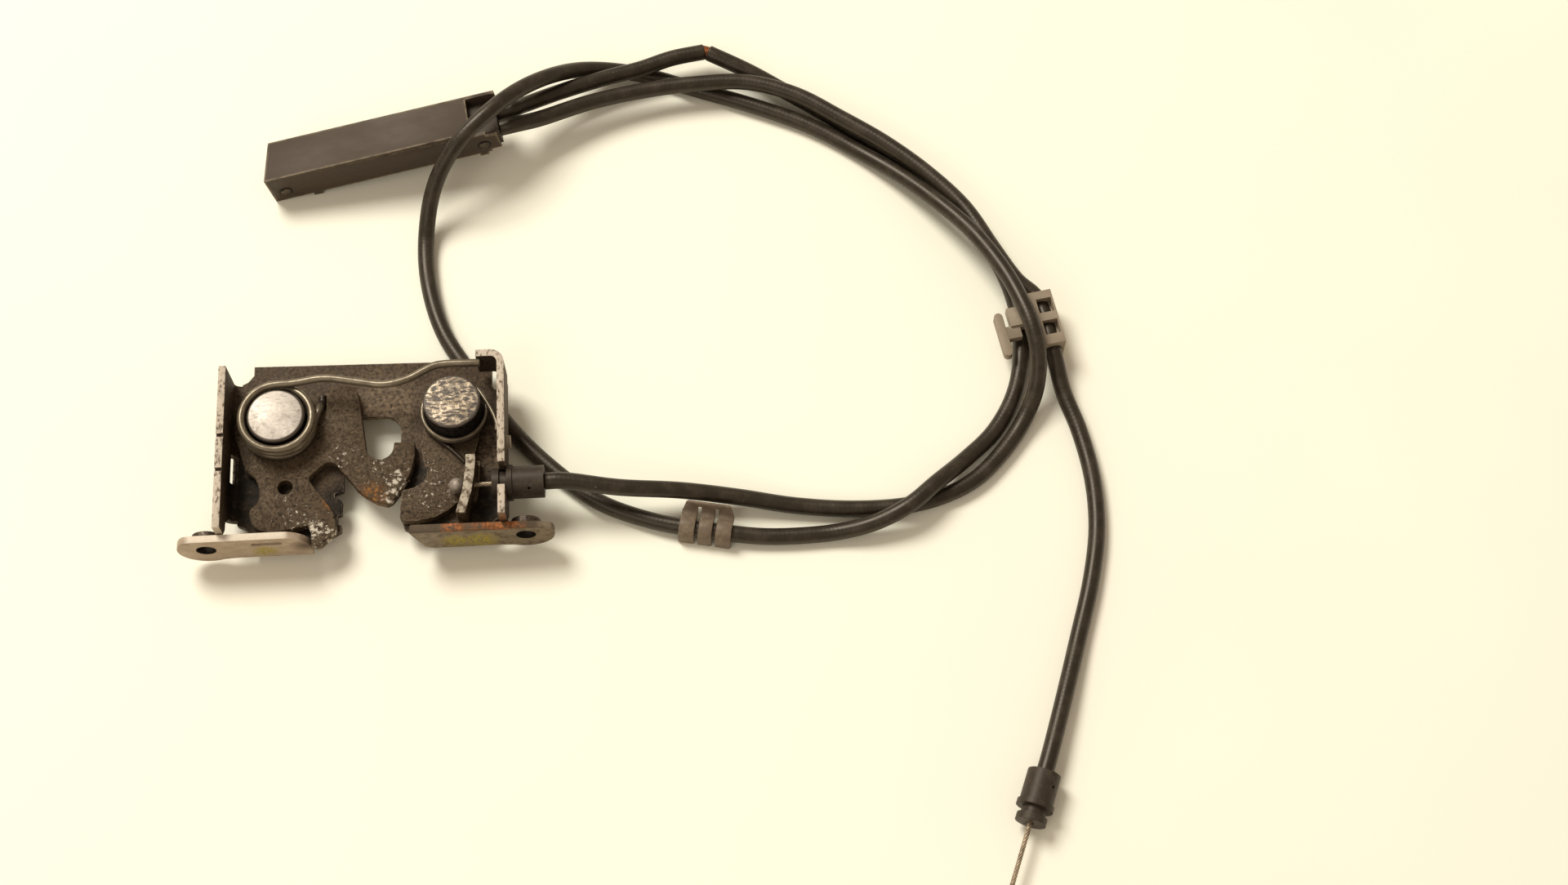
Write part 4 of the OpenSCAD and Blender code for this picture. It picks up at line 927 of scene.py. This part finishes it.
class LATCH_OT_wires(bpy.types.Operator):
    """Twist the bare ends of the inner wire and finish their nipples"""
    bl_idname = "latch.wires"
    bl_label = "Wires"

    def execute(self, context):
        sizes = context.scene.latch_sizes
        low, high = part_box("latch_wire")
        middle = (low + high) / 2
        wire = stranded("latch_wire_strands", (low.x, middle.y, middle.z), (high.x, middle.y, middle.z),
                        FINISHES["wire"], sizes)
        dress(wire, "latch_wire_body", "cable_wire", "latch_wire")
        outside, inside = 42.8, 9.2  # lengths of the wire beyond the ferrule's mouth and within it
        wire = stranded("release_wire_strands", on_bench(free_point(-FERRULE_L - outside)),
                        on_bench(free_point(-FERRULE_L + inside)), FINISHES["wire"], sizes)
        dress(wire, "release_wire_body", "cable_wire", "release_wire")
        for node in ("latch_nipple", "release_nipple"):
            finish_node(node, FINISHES["nipple"])

        start, end = on_bench(LATCH_ROUTE[-1]), on_bench(JUNCTION_ROUTE[-1])
        mesh = bpy.data.meshes.new("split_liner")
        mesh.from_pydata([(0, 0, 0)], [], [])
        liner = link_piece("split_liner", mesh, FINISHES["liner"])
        tree, ids = liner_tree(FINISHES["liner"])
        winding = liner.modifiers.new("winding", "NODES")
        winding.node_group = tree
        overlap = 1.5 * MM
        length = (end - start).length + 2 * overlap
        for label, value in (("Radius", LINER_R * MM), ("Length", length),
                             ("Turns", length / (LINER_PITCH * MM)), ("Wire", LINER_WIRE_R * MM)):
            winding[ids[label]] = value
        settle(liner)
        turn = (end - start).to_track_quat("Z", "Y").to_matrix().to_4x4()
        turn.translation = start - (end - start).normalized() * overlap
        liner.data.transform(turn)
        dress(liner, "root", "rusted_core", "sheath_core")
        return {"FINISHED"}


class LATCH_OT_fittings(bpy.types.Operator):
    bl_idname = "latch.fittings"
    bl_label = "Ferrules and clips"

    def execute(self, context):
        sizes = context.scene.latch_sizes
        for node, name, finish, slot in (
                ("latch_ferrule", "latch_end_ferrule", "ferrule", "ferrule_plastic"),
                ("release_ferrule", "free_end_ferrule", "ferrule", "ferrule_plastic"),
                ("finger_clip", "finger_clip_moulded", "finger_clip", "clip_plastic"),
                ("block_clip", "block_clip_moulded", "block_clip", "clip_plastic")):
            piece = rounded_copy(node, name, FINISHES[finish], sizes.moulded_edge)
            dress(piece, "root", slot, node)
        return {"FINISHED"}


class LATCH_OT_junction(bpy.types.Operator):
    """Fold the junction channel and finish what it holds"""
    bl_idname = "latch.junction"
    bl_label = "Junction channel"

    def execute(self, context):
        sizes = context.scene.latch_sizes
        channel = rounded_copy("junction_channel", "folded_channel", FINISHES["channel"],
                               sizes.channel_edge, segments=3)
        dress(channel, "root", "black_paint", "junction_channel")
        block = rounded_copy("cable_block", "cable_end_block", FINISHES["ferrule"], sizes.moulded_edge)
        dress(block, "root", "ferrule_plastic", "cable_block")
        for node in ("block_rivet", "carrier_pin"):
            pin = rounded_copy(node, node + "_headed", FINISHES["pin"], sizes.pin_edge)
            dress(pin, "root", "dark_steel", node)
        for node, finish in (("pulley_carrier", "ferrule"), ("pulley_axle", "pin"),
                             ("return_pulley", "pulley"), ("return_wire", "wire")):
            finish_node(node, FINISHES[finish])
        return {"FINISHED"}


OPERATORS = (LATCH_OT_stage, LATCH_OT_finishes, LATCH_OT_cables, LATCH_OT_plate, LATCH_OT_levers,
             LATCH_OT_rivets, LATCH_OT_springs, LATCH_OT_wires, LATCH_OT_fittings, LATCH_OT_junction)


class LATCH_PT_build(bpy.types.Panel):
    """Lists the steps that dress the latch"""
    bl_idname = "LATCH_PT_build"
    bl_label = "Bonnet latch"
    bl_space_type = "VIEW_3D"
    bl_region_type = "UI"
    bl_category = "Latch"

    def draw(self, context):
        for group in (context.scene.latch_sizes, context.scene.latch_colours):
            for name in group.__annotations__:
                self.layout.prop(group, name)
        for operator in OPERATORS:
            self.layout.operator(operator.bl_idname)


CLASSES = (LatchSizes, LatchColours) + OPERATORS + (LATCH_PT_build,)


def register():
    for entry in CLASSES:
        bpy.utils.register_class(entry)
    bpy.types.Scene.latch_sizes = PointerProperty(type=LatchSizes)
    bpy.types.Scene.latch_colours = PointerProperty(type=LatchColours)


def unregister():
    del bpy.types.Scene.latch_colours
    del bpy.types.Scene.latch_sizes
    for entry in reversed(CLASSES):
        bpy.utils.unregister_class(entry)


def main():
    register()
    for operator in OPERATORS:
        group, name = operator.bl_idname.split(".")
        getattr(getattr(bpy.ops, group), name)()


if __name__ == "__main__":
    main()
